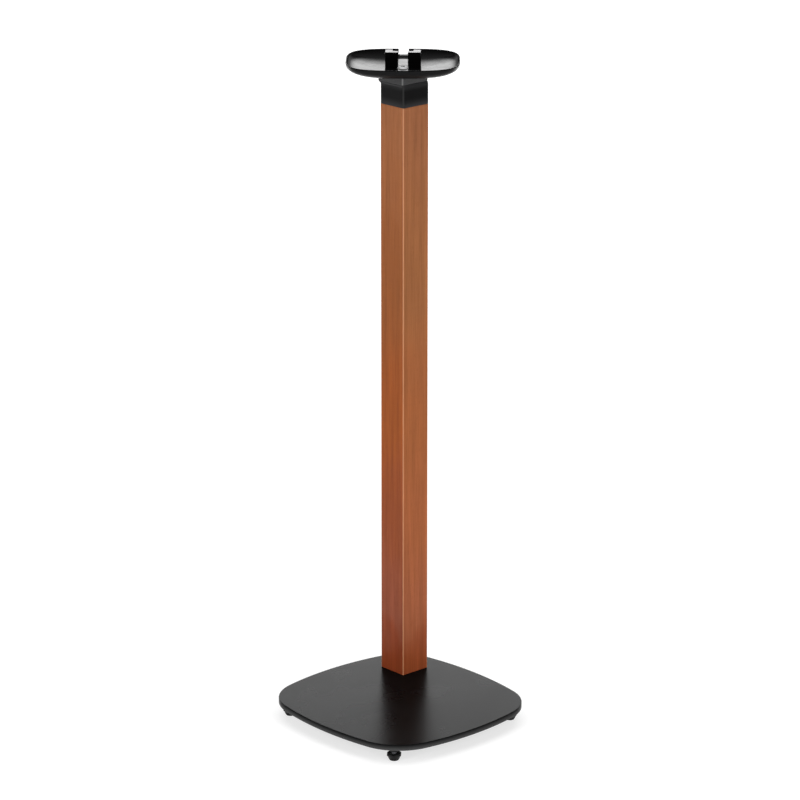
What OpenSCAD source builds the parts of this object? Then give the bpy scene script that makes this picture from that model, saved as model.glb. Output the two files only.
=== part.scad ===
// Floor stand for one small speaker. A bowed square plate stands on four screw feet.
// A square wooden post, turned 45 degrees, rises from the back of the plate to a collar,
// and the collar carries a shallow tray with two prongs. All sizes are in millimetres.
// Origin: on the floor, under the middle of the overall width and depth. -Y is the front.

/* [Base plate] */
// Width of the plate, between its right and left front sides
plate_w = 257; // [220:1:300]
// Length of the plate, between its front right and back left sides
plate_l = 266; // [220:1:300]
// Thickness of the plate
plate_t = 7.5; // [5:0.5:10]
// Radius of the plate's corners
plate_corner_r = 63; // [40:1:80]
// How far each side of the plate bows out at its middle
plate_bow = 6; // [3:0.5:10]
// Distance from the middle of the plate back to the post's axis
post_setback = 105; // [80:1:110]

/* [Feet] */
// Spacing of the feet along both sides of the plate
foot_spacing = 192; // [170:1:198]
// Height of the plate's underside over the floor
foot_h = 17; // [15.5:0.5:24]
// Width across flats of the six-sided glide
glide_af = 17; // [15:0.5:20]
// Height of the six-sided part of the glide
glide_hex_h = 2.6; // [2:0.1:4]
// Height of the round skirt under the six-sided part
glide_skirt_h = 3.4; // [2.5:0.1:5]
// Width of the glide's skirt at its lower end
glide_skirt_d = 14.4; // [12:0.1:14.8]
// Height of the rubber pad under the glide
pad_h = 3; // [2:0.1:4]
// Width of the rubber pad where it meets the floor
pad_d = 10.6; // [9:0.1:11.8]
// Diameter of the foot's stud
stud_d = 6; // [5:0.5:7]
// Depth of the stud's socket in the glide
stud_socket = 5; // [3:0.5:5.5]
// How far the foot can be screwed in from the height shown
foot_up = 1.5; // [0.5:0.1:1.6]
// Diameter of the threaded bush under the plate
bush_d = 10; // [10:0.5:13]
// Diameter of the bush's spigot in the plate
bush_spigot_d = 8; // [7.5:0.1:9]
// Length of the bush's spigot in the plate
bush_spigot_h = 3; // [2:0.1:3]
// Steel left over the foot's pocket in the plate
pocket_roof = 2; // [1.4:0.1:2]

/* [Post] */
// Width of the square post
post_w = 41; // [38:0.5:50]
// Thickness of the post's four boards
post_wall = 8; // [6:0.1:8]
// Length of the post
post_l = 727; // [400:1:1000]
// Radius of the post's long edges
post_edge_r = 0.8; // [0.5:0.1:4]
// Height of the steel spigot inside the foot of the post
spigot_h = 50; // [20:1:90]
// Diameter of the two screws that hold the spigot on the plate
spigot_screw_d = 4; // [3:0.5:5]
// Length of the spigot's screws
spigot_screw_l = 20; // [12:1:21]
// Distance of the spigot's screws from its axis, along both of its sides
spigot_screw_reach = 7; // [6:0.1:7.2]

/* [Tie rod] */
// Diameter of the tie rod
rod_d = 8; // [6:0.5:8]
// Length of the rod inside the collar's threaded hole
rod_grip = 26; // [12:1:30]
// Rod end showing under its nut
rod_tip = 2.5; // [1:0.1:4]
// Width across flats of the rod's nut
nut_af = 13; // [12:0.5:15]
// Height of the rod's nut
nut_h = 6.5; // [4:0.1:8]
// Diameter of the rod's washer
washer_d = 16; // [15:0.5:20]
// Thickness of the rod's washer
washer_t = 1.6; // [1:0.1:2.5]

/* [Collar] */
// Height of the collar on top of the post
collar_h = 28; // [24:0.5:50]
// How far each face of the collar stands out past the post
collar_margin = 0.5; // [0:0.1:3]
// Radius of the collar's long edges
collar_edge_r = 2.6; // [1:0.1:5]
// Height of the sloped shoulder at the top of the collar
collar_shoulder_h = 3; // [2:0.5:8]
// How far that shoulder slopes in under the block
collar_shoulder_in = 0.8; // [0.2:0.1:2]
// Length of the collar's spigot inside the post
collar_spigot_l = 20; // [15:0.5:40]

/* [Tray block] */
// Width of the square block under the tray
block_w = 43; // [40.5:0.5:46]
// Height of the block
block_h = 10.5; // [9:0.5:24]
// Radius of the block's upright edges
block_edge_r = 2; // [1:0.1:4]
// How far the block and the tray are turned on the collar, anticlockwise from above
head_turn = 2; // [0:0.5:5]
// How far the block and the tray are bolted to the left of the post's axis
head_shift = 1.9; // [0:0.1:2.2]

/* [Tray] */
// Width of the tray over its rim
tray_w = 138.5; // [110:0.5:160]
// Depth of the tray over its rim, from front to back
tray_l = 130; // [110:0.5:160]
// Height of the tray from its flat underside to its rim
tray_h = 15.2; // [12.5:0.1:24]
// Width of the flat middle of the tray's underside
tray_flat_w = 60; // [56:1:70]
// Squareness of the tray's outline, where 2 is round
tray_squareness = 3.4; // [2.4:0.1:4]
// Thickness of the tray's wall at the rim
tray_rim_t = 2; // [1.6:0.1:3]
// Thickness of the tray's floor
tray_floor_t = 4.5; // [3:0.1:5]
// Width of the cable notch in the back of the rim
notch_w = 12.2; // [8:0.1:20]
// Depth of the cable notch below the rim
notch_h = 6.2; // [4:0.1:10]
// Radius of the notch's lower corners
notch_r = 1.5; // [0.5:0.1:3]
// Height of the ramp that leads the cable up to the notch, where it meets the back wall
ramp_h = 3; // [1:0.1:4]
// Distance behind the bolt at which the ramp starts
ramp_start = 11; // [9:0.5:16]

/* [Tray fixings] */
// Diameter of the tray's bolt
bolt_d = 8; // [6:0.5:8]
// Length of the tray's bolt under its head
bolt_l = 30; // [24:1:32]
// Diameter of the bolt's head
bolt_head_d = 14; // [12:0.5:14]
// Height of the bolt's head
bolt_head_h = 2.6; // [2.2:0.1:3.6]
// Width across flats of the socket in the bolt's head
bolt_key_af = 5; // [3:0.5:6]
// Diameter of the two pins that stop the tray turning
pin_d = 3; // [2:0.5:4]
// Length of the pins
pin_l = 7; // [5:0.5:9]
// Tray floor left over each pin
pin_roof = 1.2; // [1:0.1:1.5]
// Distance of each pin from the post's axis, sideways and forwards
pin_reach = 10; // [9:0.1:10.5]

/* [Prongs] */
// Gap between the two prongs
prong_gap = 11.7; // [10:0.1:14]
// Width of each prong
prong_w = 15.7; // [14:0.1:18]
// Depth of each prong
prong_l = 18; // [18:0.5:26]
// Height of each prong over the tray's floor
prong_h = 19.5; // [12:0.5:30]
// How far the prongs reach in front of the post's axis
prong_front = 1.5; // [0:0.5:4]
// Radius of each prong's outer corners
prong_corner_r = 3; // [1:0.1:3.5]
// Width of the step at each prong's inner back corner
prong_step_w = 6.6; // [4:0.1:9]
// Depth of that step
prong_step_l = 8.5; // [4:0.1:9]
// Diameter of the prong's screw
prong_screw_d = 4; // [3:0.5:4]
// Length of the prong's screw
prong_screw_l = 12; // [8:0.5:14]

/* [Hidden] */
$fn = 64;

// Clearances on the radius: thread or shaft in its hole, loose hole, spigot in the post
run_gap = 0.05;
hole_gap = 0.5;
slip_gap = 0.3;
// How far a cutting shape runs past the face it opens
cut = 1;
// A countersunk head is this many times its shank across, and cuts in at 45 degrees
head_ratio = 1.9;
// Steel or plastic left past the blind end of a screw or pin
blind_gap = 0.5;

// Heights over the floor
plate_z = foot_h;
plate_top = plate_z + plate_t;
post_top = plate_top + post_l;
collar_top = post_top + collar_h;
tray_z = collar_top + block_h;
tray_floor_z = tray_z + tray_floor_t;
rim_z = tray_z + tray_h;

// How far the tray's outline reaches backwards once it is turned
function tray_reach(turn) =
    let (n = tray_squareness, dual = n / (n - 1))
    pow(pow(tray_l * cos(turn), dual) + pow(tray_w * abs(sin(turn)), dual), 1 / dual) / 2;

// The plate's corner circles, and how far the turned plate reaches from its own middle
corner_x = plate_w / 2 - plate_bow - plate_corner_r;
corner_y = plate_l / 2 - plate_bow - plate_corner_r;
plate_reach = (corner_x + corner_y) * sqrt(0.5) + plate_corner_r;
back_reach = max(plate_reach, post_setback + tray_reach(head_turn));
plate_y = (plate_reach - back_reach) / 2;
post_y = plate_y + post_setback;
side_steps = 12;
corner_steps = 24;

// The feet
foot_places = [[-1, -1], [1, -1], [1, 1], [-1, 1]];
bush_h = foot_h - pad_h - glide_skirt_h - glide_hex_h - foot_up - blind_gap;
bush_z = plate_z - bush_h;
glide_top = pad_h + glide_skirt_h + glide_hex_h;
pocket_h = plate_t - pocket_roof;
stud_z = glide_top - stud_socket;
stud_top = plate_z + pocket_h - foot_up - blind_gap;

// The post's hollow, what fits in it, and the rod's holes
bore_w = post_w - 2 * post_wall;
collar_w = post_w + 2 * collar_margin;
spigot_w = bore_w - 2 * slip_gap;
rod_hole_r = rod_d / 2 + hole_gap;
rod_bottom = plate_z - washer_t - nut_h - rod_tip;
rod_top = post_top - collar_spigot_l + rod_grip;

// The tray's wall runs from the rim to the flat underside along a quarter ellipse
tray_steps = 96;
wall_steps = 9;
lip_steps = 4;
half_flat = tray_flat_w / 2;
lip_r = tray_rim_t / 2;
half_lip = tray_w / 2 - lip_r;
shorter = (tray_w - tray_l) / 2;
out_h = tray_h - lip_r;
in_h = out_h - tray_floor_t;
// How deep the ramp's foot starts inside the floor, and the steps of its hidden underside
ramp_root = 0.2;
ramp_steps = 4;

// The tray's bolt ends in the collar, and its pins end under the tray's floor
bolt_tip_z = tray_floor_z - bolt_l;
pin_z = tray_floor_z - pin_roof - pin_l;

// The prong's screw stands in the middle of the prong's full-width front part
prong_x = (prong_gap + prong_w) / 2;
prong_screw_y = (prong_l - prong_step_l) / 2 - prong_front;
prong_hole_h = prong_screw_l - tray_floor_t + blind_gap;
head_relief = 0.6;

// Four-cornered outline with round corners, on its own middle
module round_square(w, r) {
    straight = w - 2 * r;
    square([w, straight], center = true);
    square([straight, w], center = true);
    for (x = [-1, 1], y = [-1, 1])
        translate([x * straight / 2, y * straight / 2]) circle(r);
}

// Moves to the plate's frame, whose sides run at 45 degrees to the front
module on_plate(z) {
    translate([0, plate_y, z]) rotate(45) children();
}

// Moves to the post's frame, turned the same way
module on_post(z) {
    translate([0, post_y, z]) rotate(45) children();
}

// Moves to the post's axis without the turn
module on_axis(z) {
    translate([0, post_y, z]) children();
}

// Moves to the head's frame: the tray faces the front, but for the small shift and turn it was
// bolted at
module on_head(z) {
    translate([-head_shift, post_y, z]) rotate(head_turn) children();
}

// Countersunk screw with its head's flat face at z = 0 and its shank downwards
module csk_screw(d, l) {
    head_r = d * head_ratio / 2;
    head_h = head_r - d / 2;
    translate([0, 0, -l]) cylinder(h = l, d = d);
    translate([0, 0, -head_h]) cylinder(h = head_h, r1 = d / 2, r2 = head_r);
}

// The hole for such a screw, loose by gap all round, opening through the face at z = 0
module csk_hole(d, l, gap) {
    head_r = d * head_ratio / 2 + gap;
    head_h = head_r - d / 2 - gap;
    translate([0, 0, -l]) cylinder(h = l + cut, r = d / 2 + gap);
    translate([0, 0, -head_h]) cylinder(h = head_h, r1 = d / 2 + gap, r2 = head_r);
}

// Radius of the arc that bows out one side and runs smoothly into both corner circles
function bow_radius(reach) =
    let (u = plate_bow + plate_corner_r)
    (u * u - plate_corner_r * plate_corner_r + reach * reach) / (2 * plate_bow);

// Angle at which that arc meets a corner circle centred near the side and far along it
function bow_angle(half, near, far) = atan2(far, near - half + bow_radius(far));

// Points on an arc, without its two ends
function arc_inside(middle, r, from, to, steps) = [
    for (i = [1:steps - 1])
        let (a = from + (to - from) * i / steps)
        middle + r * [cos(a), sin(a)]
];

// The side that faces this quarter's +X, bowed about its middle, and the corner after it
function plate_quarter(half, near, far) =
    let (r = bow_radius(far), a = bow_angle(half, near, far))
    let (after = bow_angle(half + far - near, far, near), end = [half - r + r * cos(a), r * sin(a)])
    concat(
        [[end.x, -end.y]],
        arc_inside([half - r, 0], r, -a, a, side_steps),
        [end],
        arc_inside([near, far], plate_corner_r, a, 90 - after, corner_steps)
    );

// Bowed square: four bowed sides and four round corners
module plate_outline() {
    wide = plate_quarter(plate_w / 2, corner_x, corner_y);
    long = plate_quarter(plate_l / 2, corner_y, corner_x);
    polygon([
        for (p = wide) p,
        for (p = long) [-p.y, p.x],
        for (p = wide) [-p.x, -p.y],
        for (p = long) [p.y, -p.x]
    ]);
}

// Moves to one foot's axis, facing the front squarely
module at_foot(place, z) {
    on_plate(z) translate(place * foot_spacing / 2) rotate(-45) children();
}

// Moves to both screws of the post's spigot
module at_spigot_screws(z) {
    on_post(z) for (side = [-1, 1]) translate([side, side] * spigot_screw_reach) children();
}

module base_plate() {
    color([0.13, 0.13, 0.14])
    difference() {
        on_plate(plate_z) linear_extrude(plate_t) plate_outline();
        for (place = foot_places)
            at_foot(place, plate_z - cut)
                cylinder(h = pocket_h + cut, r = bush_spigot_d / 2 + run_gap);
        on_axis(plate_z - cut) cylinder(h = plate_t + 2 * cut, r = rod_hole_r);
        at_spigot_screws(plate_z)
            mirror([0, 0, 1]) csk_hole(spigot_screw_d, plate_t + cut, run_gap);
    }
}

module foot_bushes() {
    color([0.55, 0.56, 0.58])
    for (place = foot_places)
        at_foot(place, bush_z)
            difference() {
                union() {
                    cylinder(h = bush_h, d = bush_d);
                    cylinder(h = bush_h + bush_spigot_h, d = bush_spigot_d);
                }
                translate([0, 0, -cut])
                    cylinder(h = bush_h + bush_spigot_h + 2 * cut, r = stud_d / 2 + run_gap);
            }
}

module foot_stud(place) {
    color([0.6, 0.61, 0.63])
    at_foot(place, stud_z) cylinder(h = stud_top - stud_z, d = stud_d);
}

// Six-sided top, chamfered like a nut, over a round tapered skirt
module foot_glide(place) {
    corner_d = glide_af / cos(30);
    color([0.07, 0.07, 0.07])
    at_foot(place, pad_h)
        difference() {
            union() {
                cylinder(h = glide_skirt_h, d1 = glide_skirt_d, d2 = glide_af);
                translate([0, 0, glide_skirt_h])
                    intersection() {
                        rotate(30) cylinder(h = glide_hex_h, d = corner_d, $fn = 6);
                        cylinder(h = glide_hex_h, r1 = corner_d / 2 + glide_hex_h, r2 = glide_af / 2);
                    }
            }
            translate([0, 0, stud_z - pad_h])
                cylinder(h = stud_socket + cut, r = stud_d / 2 + run_gap);
        }
}

module foot_pad(place) {
    color([0.05, 0.05, 0.05])
    at_foot(place, 0) cylinder(h = pad_h, d1 = pad_d, d2 = glide_skirt_d);
}

module post_spigot() {
    color([0.55, 0.56, 0.58])
    difference() {
        on_post(plate_top) translate([-spigot_w / 2, -spigot_w / 2, 0]) cube([spigot_w, spigot_w, spigot_h]);
        on_axis(plate_top - cut) cylinder(h = spigot_h + 2 * cut, r = rod_hole_r);
        at_spigot_screws(plate_z)
            cylinder(h = spigot_screw_l + blind_gap, r = spigot_screw_d / 2 + run_gap);
    }
}

module spigot_screws() {
    color([0.5, 0.5, 0.52])
    at_spigot_screws(plate_z) mirror([0, 0, 1]) csk_screw(spigot_screw_d, spigot_screw_l);
}

// One of four boards, mitred along its long edges, facing out at this angle
module post_board(angle) {
    color([0.58, 0.33, 0.19])
    on_post(plate_top)
        rotate(angle)
            linear_extrude(post_l)
                intersection() {
                    difference() {
                        round_square(post_w, post_edge_r);
                        square(bore_w, center = true);
                    }
                    polygon([[0, 0], [post_w, -post_w], [post_w, post_w]]);
                }
}

module tie_rod() {
    color([0.6, 0.61, 0.63])
    on_axis(rod_bottom) cylinder(h = rod_top - rod_bottom, d = rod_d);
}

module rod_nut() {
    color([0.55, 0.56, 0.58])
    on_post(rod_bottom + rod_tip)
        difference() {
            cylinder(h = nut_h, d = nut_af / cos(30), $fn = 6);
            translate([0, 0, -cut]) cylinder(h = nut_h + 2 * cut, r = rod_d / 2 + run_gap);
        }
}

module rod_washer() {
    color([0.6, 0.61, 0.63])
    on_axis(plate_z - washer_t)
        difference() {
            cylinder(h = washer_t, d = washer_d);
            translate([0, 0, -cut]) cylinder(h = washer_t + 2 * cut, r = rod_d / 2 + slip_gap);
        }
}

// Square neck with a sloped shoulder under the block, tapped for the rod and the bolt
module collar() {
    color([0.13, 0.13, 0.14])
    difference() {
        on_post(post_top) {
            translate([-spigot_w / 2, -spigot_w / 2, -collar_spigot_l])
                cube([spigot_w, spigot_w, collar_spigot_l + cut]);
            linear_extrude(collar_h - collar_shoulder_h) round_square(collar_w, collar_edge_r);
            translate([0, 0, collar_h - collar_shoulder_h])
                linear_extrude(collar_shoulder_h, scale = 1 - 2 * collar_shoulder_in / collar_w)
                    round_square(collar_w, collar_edge_r);
        }
        on_axis(post_top - collar_spigot_l - cut)
            cylinder(h = rod_grip + blind_gap + cut, r = rod_d / 2 + run_gap);
        on_head(bolt_tip_z - blind_gap)
            cylinder(h = collar_top - bolt_tip_z + blind_gap + cut, r = bolt_d / 2 + run_gap);
    }
}

// Moves to both pins between the block and the tray
module at_pins(z) {
    on_head(z) for (side = [-1, 1]) translate([side * pin_reach, -pin_reach]) children();
}

module tray_block() {
    color([0.15, 0.15, 0.16])
    difference() {
        on_head(collar_top) rotate(45) linear_extrude(block_h) round_square(block_w, block_edge_r);
        on_head(collar_top - cut) cylinder(h = block_h + 2 * cut, r = bolt_d / 2 + slip_gap);
        at_pins(pin_z - blind_gap) cylinder(h = pin_l, r = pin_d / 2 + run_gap);
    }
}

// One ring of the tray's outline at this half width, half depth and height
function tray_ring(wide, deep, z) = [
    for (i = [0:tray_steps - 1])
        let (a = 360 * i / tray_steps, c = cos(a), s = sin(a), n = tray_squareness)
        let (r = 1 / pow(pow(abs(c) / wide, n) + pow(abs(s) / deep, n), 1 / n))
        [r * c, r * s, z]
];

// The tray as one closed shell: up the outside, over the round lip and down the inside
module tray_shell() {
    rings = [
        for (i = [0:wall_steps])
            let (a = 90 * i / wall_steps, wide = half_flat + (half_lip + lip_r - half_flat) * sin(a))
            [wide, wide - shorter * sin(a), out_h * (1 - cos(a))],
        for (i = [1:lip_steps - 1])
            let (a = 180 * i / lip_steps, wide = half_lip + lip_r * cos(a))
            [wide, wide - shorter, out_h + lip_r * sin(a)],
        for (i = [wall_steps:-1:0])
            let (a = 90 * i / wall_steps, wide = half_flat + (half_lip - lip_r - half_flat) * sin(a))
            [wide, wide - shorter * sin(a), tray_floor_t + in_h * (1 - cos(a))]
    ];
    last = len(rings) - 1;
    points = [for (ring = rings) each tray_ring(ring[0], ring[1], ring[2])];
    sides = [
        for (k = [0:last - 1], i = [0:tray_steps - 1])
            let (j = (i + 1) % tray_steps, low = k * tray_steps, high = low + tray_steps)
            [low + i, high + i, high + j, low + j]
    ];
    under = [for (i = [0:tray_steps - 1]) i];
    floor_face = [for (i = [tray_steps - 1:-1:0]) last * tray_steps + i];
    polyhedron(points, concat(sides, [under, floor_face]));
}

// The cable notch's outline, with round lower corners, upwards from its floor
module notch_outline() {
    inner = notch_w - 2 * notch_r;
    translate([-notch_w / 2, notch_r]) square([notch_w, notch_h + cut]);
    translate([-inner / 2, 0]) square([inner, notch_h + cut]);
    for (x = [-inner / 2, inner / 2]) translate([x, notch_r]) circle(notch_r);
}

// Side view of the cable ramp, upwards from the tray's underside: its top runs from the floor to
// the back wall, and its underside lies halfway through the tray's thickness
module ramp_outline() {
    meet = acos(1 - ramp_h / in_h);
    inner = half_lip - lip_r - shorter - half_flat;
    polygon(concat(
        [[ramp_start, tray_floor_t / 2]],
        [
            for (i = [0:ramp_steps])
                let (a = meet * i / ramp_steps)
                [half_flat + (inner + lip_r) * sin(a), (tray_floor_t + (out_h + in_h) * (1 - cos(a))) / 2]
        ],
        [[half_flat + inner * sin(meet), tray_floor_t + ramp_h], [ramp_start, tray_floor_t - ramp_root]]
    ));
}

// Moves to the screws of both prongs
module at_prong_screws(z) {
    on_head(z) for (side = [-1, 1]) translate([side * prong_x, prong_screw_y]) children();
}

module tray() {
    color([0.12, 0.12, 0.13])
    difference() {
        on_head(tray_z) {
            tray_shell();
            translate([-notch_w / 2, 0, 0]) rotate([90, 0, 90]) linear_extrude(notch_w) ramp_outline();
        }
        on_head(rim_z - notch_h)
            translate([0, tray_l / 2 + cut, 0]) rotate([90, 0, 0])
                linear_extrude((tray_l - tray_flat_w) / 2 + cut) notch_outline();
        on_head(tray_z - cut) cylinder(h = tray_floor_t + 2 * cut, r = bolt_d / 2 + slip_gap);
        at_pins(pin_z) cylinder(h = pin_l + blind_gap, r = pin_d / 2 + run_gap);
        at_prong_screws(tray_z)
            mirror([0, 0, 1]) csk_hole(prong_screw_d, tray_floor_t + cut, run_gap);
    }
}

// Low domed head over a plain shank, with a six-sided socket
module tray_bolt() {
    dome_r = bolt_head_d * 0.9;
    color([0.45, 0.45, 0.47])
    on_head(tray_floor_z)
        difference() {
            union() {
                translate([0, 0, -bolt_l]) cylinder(h = bolt_l, d = bolt_d);
                intersection() {
                    cylinder(h = bolt_head_h, d = bolt_head_d);
                    translate([0, 0, bolt_head_h - dome_r]) sphere(dome_r);
                }
            }
            translate([0, 0, bolt_head_h / 3])
                cylinder(h = bolt_head_h, d = bolt_key_af / cos(30), $fn = 6);
        }
}

module tray_pins() {
    color([0.6, 0.61, 0.63])
    at_pins(pin_z) cylinder(h = pin_l, d = pin_d);
}

// Seen from above: inner side at x = 0, front at y = 0, outer corners round
module prong_outline() {
    r = prong_corner_r;
    difference() {
        union() {
            square([prong_w - r, prong_l]);
            translate([0, r]) square([prong_w, prong_l - 2 * r]);
            for (y = [r, prong_l - r]) translate([prong_w - r, y]) circle(r);
        }
        translate([-cut, prong_l - prong_step_l]) square([prong_step_w + cut, prong_step_l + cut]);
    }
}

// The right prong; a side of -1 mirrors it to the left
module prong(side) {
    color([0.04, 0.04, 0.04])
    on_head(tray_floor_z)
        mirror([side < 0 ? 1 : 0, 0, 0])
            difference() {
                translate([prong_gap / 2, -prong_front]) linear_extrude(prong_h) prong_outline();
                translate([0, 0, -cut])
                    cylinder(h = bolt_head_h + head_relief + cut, r = bolt_head_d / 2 + head_relief);
                translate([prong_x, prong_screw_y, -cut])
                    cylinder(h = prong_hole_h + cut, r = prong_screw_d / 2 + run_gap);
            }
}

module prong_screws() {
    color([0.5, 0.5, 0.52])
    at_prong_screws(tray_z) mirror([0, 0, 1]) csk_screw(prong_screw_d, prong_screw_l);
}

base_plate();
foot_bushes();
foot_stud(foot_places[0]);  // foot_front_stud
foot_glide(foot_places[0]);  // foot_front_glide
foot_pad(foot_places[0]);  // foot_front_pad
foot_stud(foot_places[1]);  // foot_right_stud
foot_glide(foot_places[1]);  // foot_right_glide
foot_pad(foot_places[1]);  // foot_right_pad
foot_stud(foot_places[2]);  // foot_back_stud
foot_glide(foot_places[2]);  // foot_back_glide
foot_pad(foot_places[2]);  // foot_back_pad
foot_stud(foot_places[3]);  // foot_left_stud
foot_glide(foot_places[3]);  // foot_left_glide
foot_pad(foot_places[3]);  // foot_left_pad
post_spigot();
spigot_screws();
post_board(-90);  // post_board_front_right
post_board(0);  // post_board_back_right
post_board(90);  // post_board_back_left
post_board(180);  // post_board_front_left
tie_rod();
rod_nut();
rod_washer();
collar();
tray_block();
tray();
tray_bolt();
tray_pins();
prong(-1);  // prong_left
prong(1);  // prong_right
prong_screws();
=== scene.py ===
# %% [markdown]
# # A floor stand for one small speaker
# The stand was built elsewhere as a set of real pieces: a bowed square plate on four screw
# feet, a square wooden post, and a shallow tray with two prongs. This notebook gives each piece
# the surface and the finish that one sees. The pieces could be modelled again from nothing, but
# then their sizes would drift, so the frame is loaded first. It holds every piece at its real
# size and place, and each step below dresses one of them.

# %% Load the frame
import math
import bpy
import numpy as np
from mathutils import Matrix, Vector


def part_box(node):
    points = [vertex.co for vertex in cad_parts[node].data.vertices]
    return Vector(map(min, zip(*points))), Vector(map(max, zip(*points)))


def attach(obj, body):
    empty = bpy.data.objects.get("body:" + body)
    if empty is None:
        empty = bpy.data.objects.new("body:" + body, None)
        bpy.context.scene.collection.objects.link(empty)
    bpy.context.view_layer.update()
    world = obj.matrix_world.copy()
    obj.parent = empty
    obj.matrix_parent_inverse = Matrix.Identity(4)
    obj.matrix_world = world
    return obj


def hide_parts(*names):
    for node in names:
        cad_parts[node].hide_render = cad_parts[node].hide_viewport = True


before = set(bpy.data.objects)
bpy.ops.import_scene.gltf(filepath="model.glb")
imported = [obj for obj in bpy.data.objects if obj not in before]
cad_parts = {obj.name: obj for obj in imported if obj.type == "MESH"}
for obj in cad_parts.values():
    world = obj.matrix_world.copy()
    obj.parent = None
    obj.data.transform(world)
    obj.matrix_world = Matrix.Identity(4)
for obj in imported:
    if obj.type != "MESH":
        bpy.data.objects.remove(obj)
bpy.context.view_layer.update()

# %% [markdown]
# ## Where things are
# Every surface has to sit where its piece was built. The heights and axes could be typed in
# again as numbers, but they are read from the boxes of the frame's nodes, so that the two can't
# disagree. The z axis points up and -y is the front of the stand. The head, which is the block
# with the tray on it, stands a little to the left of the post's axis and is turned two degrees.

# %% Places read from the frame
MM = 0.001
TURN = 2 * math.pi


def middle(node):
    """The middle of a node's box, as an array of x, y and z."""
    low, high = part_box(node)
    return np.array(low + high) / 2


def bottom(node):
    """The lowest height of a node."""
    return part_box(node)[0].z


def top(node):
    """The highest height of a node."""
    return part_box(node)[1].z


post_axis = middle("tie_rod")[:2]
head_axis = middle("tray_bolt")[:2]
head_turn = math.radians(2)
plate_middle = middle("base_plate")[:2]
tray_floor = bottom("prong_right")
print("axes of the post", post_axis.round(4), "and of the head", head_axis.round(4))

# %% [markdown]
# ## From a grid of points to a skin
# Most pieces of this stand are rings stacked one over another: the outline of the plate at
# several heights, the circles of a washer, the rounded square of the tray. Blender's Screw and
# Bevel modifiers could make many of them, but not one that is six-sided at one height and round
# at the next. Here a ring is one row of an array, so a whole piece is one array, and numpy works
# it out without a loop over points. The helper joins neighbouring rings with four-sided faces
# and closes the ends.

# %% The skin maker
crease_angle = math.radians(38)


def faces_between(count, columns, ends):
    """Four-sided faces that join each ring to the one above it. Ends adds three-sided faces
    from the first and last ring to a point in their middle, and these two points are numbered
    after the rings'. Without ends the last ring joins the first."""
    i = np.arange(count - 1 if ends else count)[:, None]
    j = np.arange(columns)[None, :]
    after, above = (j + 1) % columns, (i + 1) % count
    faces = np.stack([i * columns + j, i * columns + after,
                      above * columns + after, above * columns + j], -1).reshape(-1, 4).tolist()
    if ends:
        j, after = j.ravel(), after.ravel()
        last, low = (count - 1) * columns, count * columns
        faces += np.stack([np.full(columns, low), after, j], 1).tolist()
        faces += np.stack([np.full(columns, low + 1), last + j, last + after], 1).tolist()
    return faces


def skin(name, rings, ends=True):
    """A closed skin over rings[i, j], point j of ring i. Rings run anticlockwise from above and
    are listed upwards on the outside. Without ends the skin closes on itself, as a washer's."""
    points = rings.reshape(-1, 3)
    if ends:
        points = np.vstack([points, rings[0].mean(0), rings[-1].mean(0)])
    faces = faces_between(*rings.shape[:2], ends)
    mesh = bpy.data.meshes.new(name)
    mesh.from_pydata(points.tolist(), [], faces)
    mesh.polygons.foreach_set("use_smooth", np.ones(len(faces), bool))
    mesh.set_sharp_from_angle(angle=crease_angle)
    return mesh


print("two rings of four points make a box of", len(faces_between(2, 4, True)), "faces")

# %% [markdown]
# A finish can change over one skin, as where the dish turns satin outside, or where a grey is
# painted onto an edge as a painted highlight. That could be painted as a picture, but a number
# kept for each point follows the shape exactly and stays sharp at any distance. The mesh holds
# the numbers as an attribute, and the material reads it.

# %% Mark a skin
def mark(mesh, name, grid, first, last):
    """Keeps a number for every point of a skin: the grid's for the rings, and one each for the
    middles of the first and last ring."""
    values = np.concatenate([grid.ravel(), [first, last]]).astype(np.float32)
    mesh.attributes.new(name, "FLOAT", "POINT").data.foreach_set("value", values)
    return mesh


# two of these marks paint light and shade: a lighter grey for highlights, a dark grey in the bolt
marks = ("painted_light", "outside", "bare", "painted_shade")
print("marks that the finishes read:", *marks)

# %% [markdown]
# Every finished skin goes onto the stand in the same way. Each could get its finish and its body
# on the spot, but one helper does it for all of them, so that no step is forgotten. It also
# weighs the shading by the size of the faces, and then the small faces of a rounded edge don't
# bend the light on the flat face beside them.

# %% Put a skin on the stand
made = {}


def in_scene(name, data):
    """A new object that shows this data, linked to the scene."""
    thing = bpy.data.objects.new(name, data)
    bpy.context.scene.collection.objects.link(thing)
    return thing


def place(mesh, finish, body, slot, *nodes):
    """Makes a mesh a piece of the stand: it takes a finish, rides on a body, and stands for the
    nodes that it is the visible surface of. The slot is not used."""
    piece = in_scene(mesh.name, mesh)
    mesh.materials.append(finish)
    piece.modifiers.new("flat faces stay flat", "WEIGHTED_NORMAL").keep_sharp = True
    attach(piece, body)
    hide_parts(*nodes)
    made[mesh.name] = len(mesh.polygons)


# %% [markdown]
# ## Outlines
# A flat outline is a list of points, each with the direction that points out of the piece there.
# A curve with round corners could draw it, but the rings of a skin all need the same number of
# points, and an edge is easy to round only where the outward direction is known. So the arcs at
# the corners are worked out here.

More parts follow.
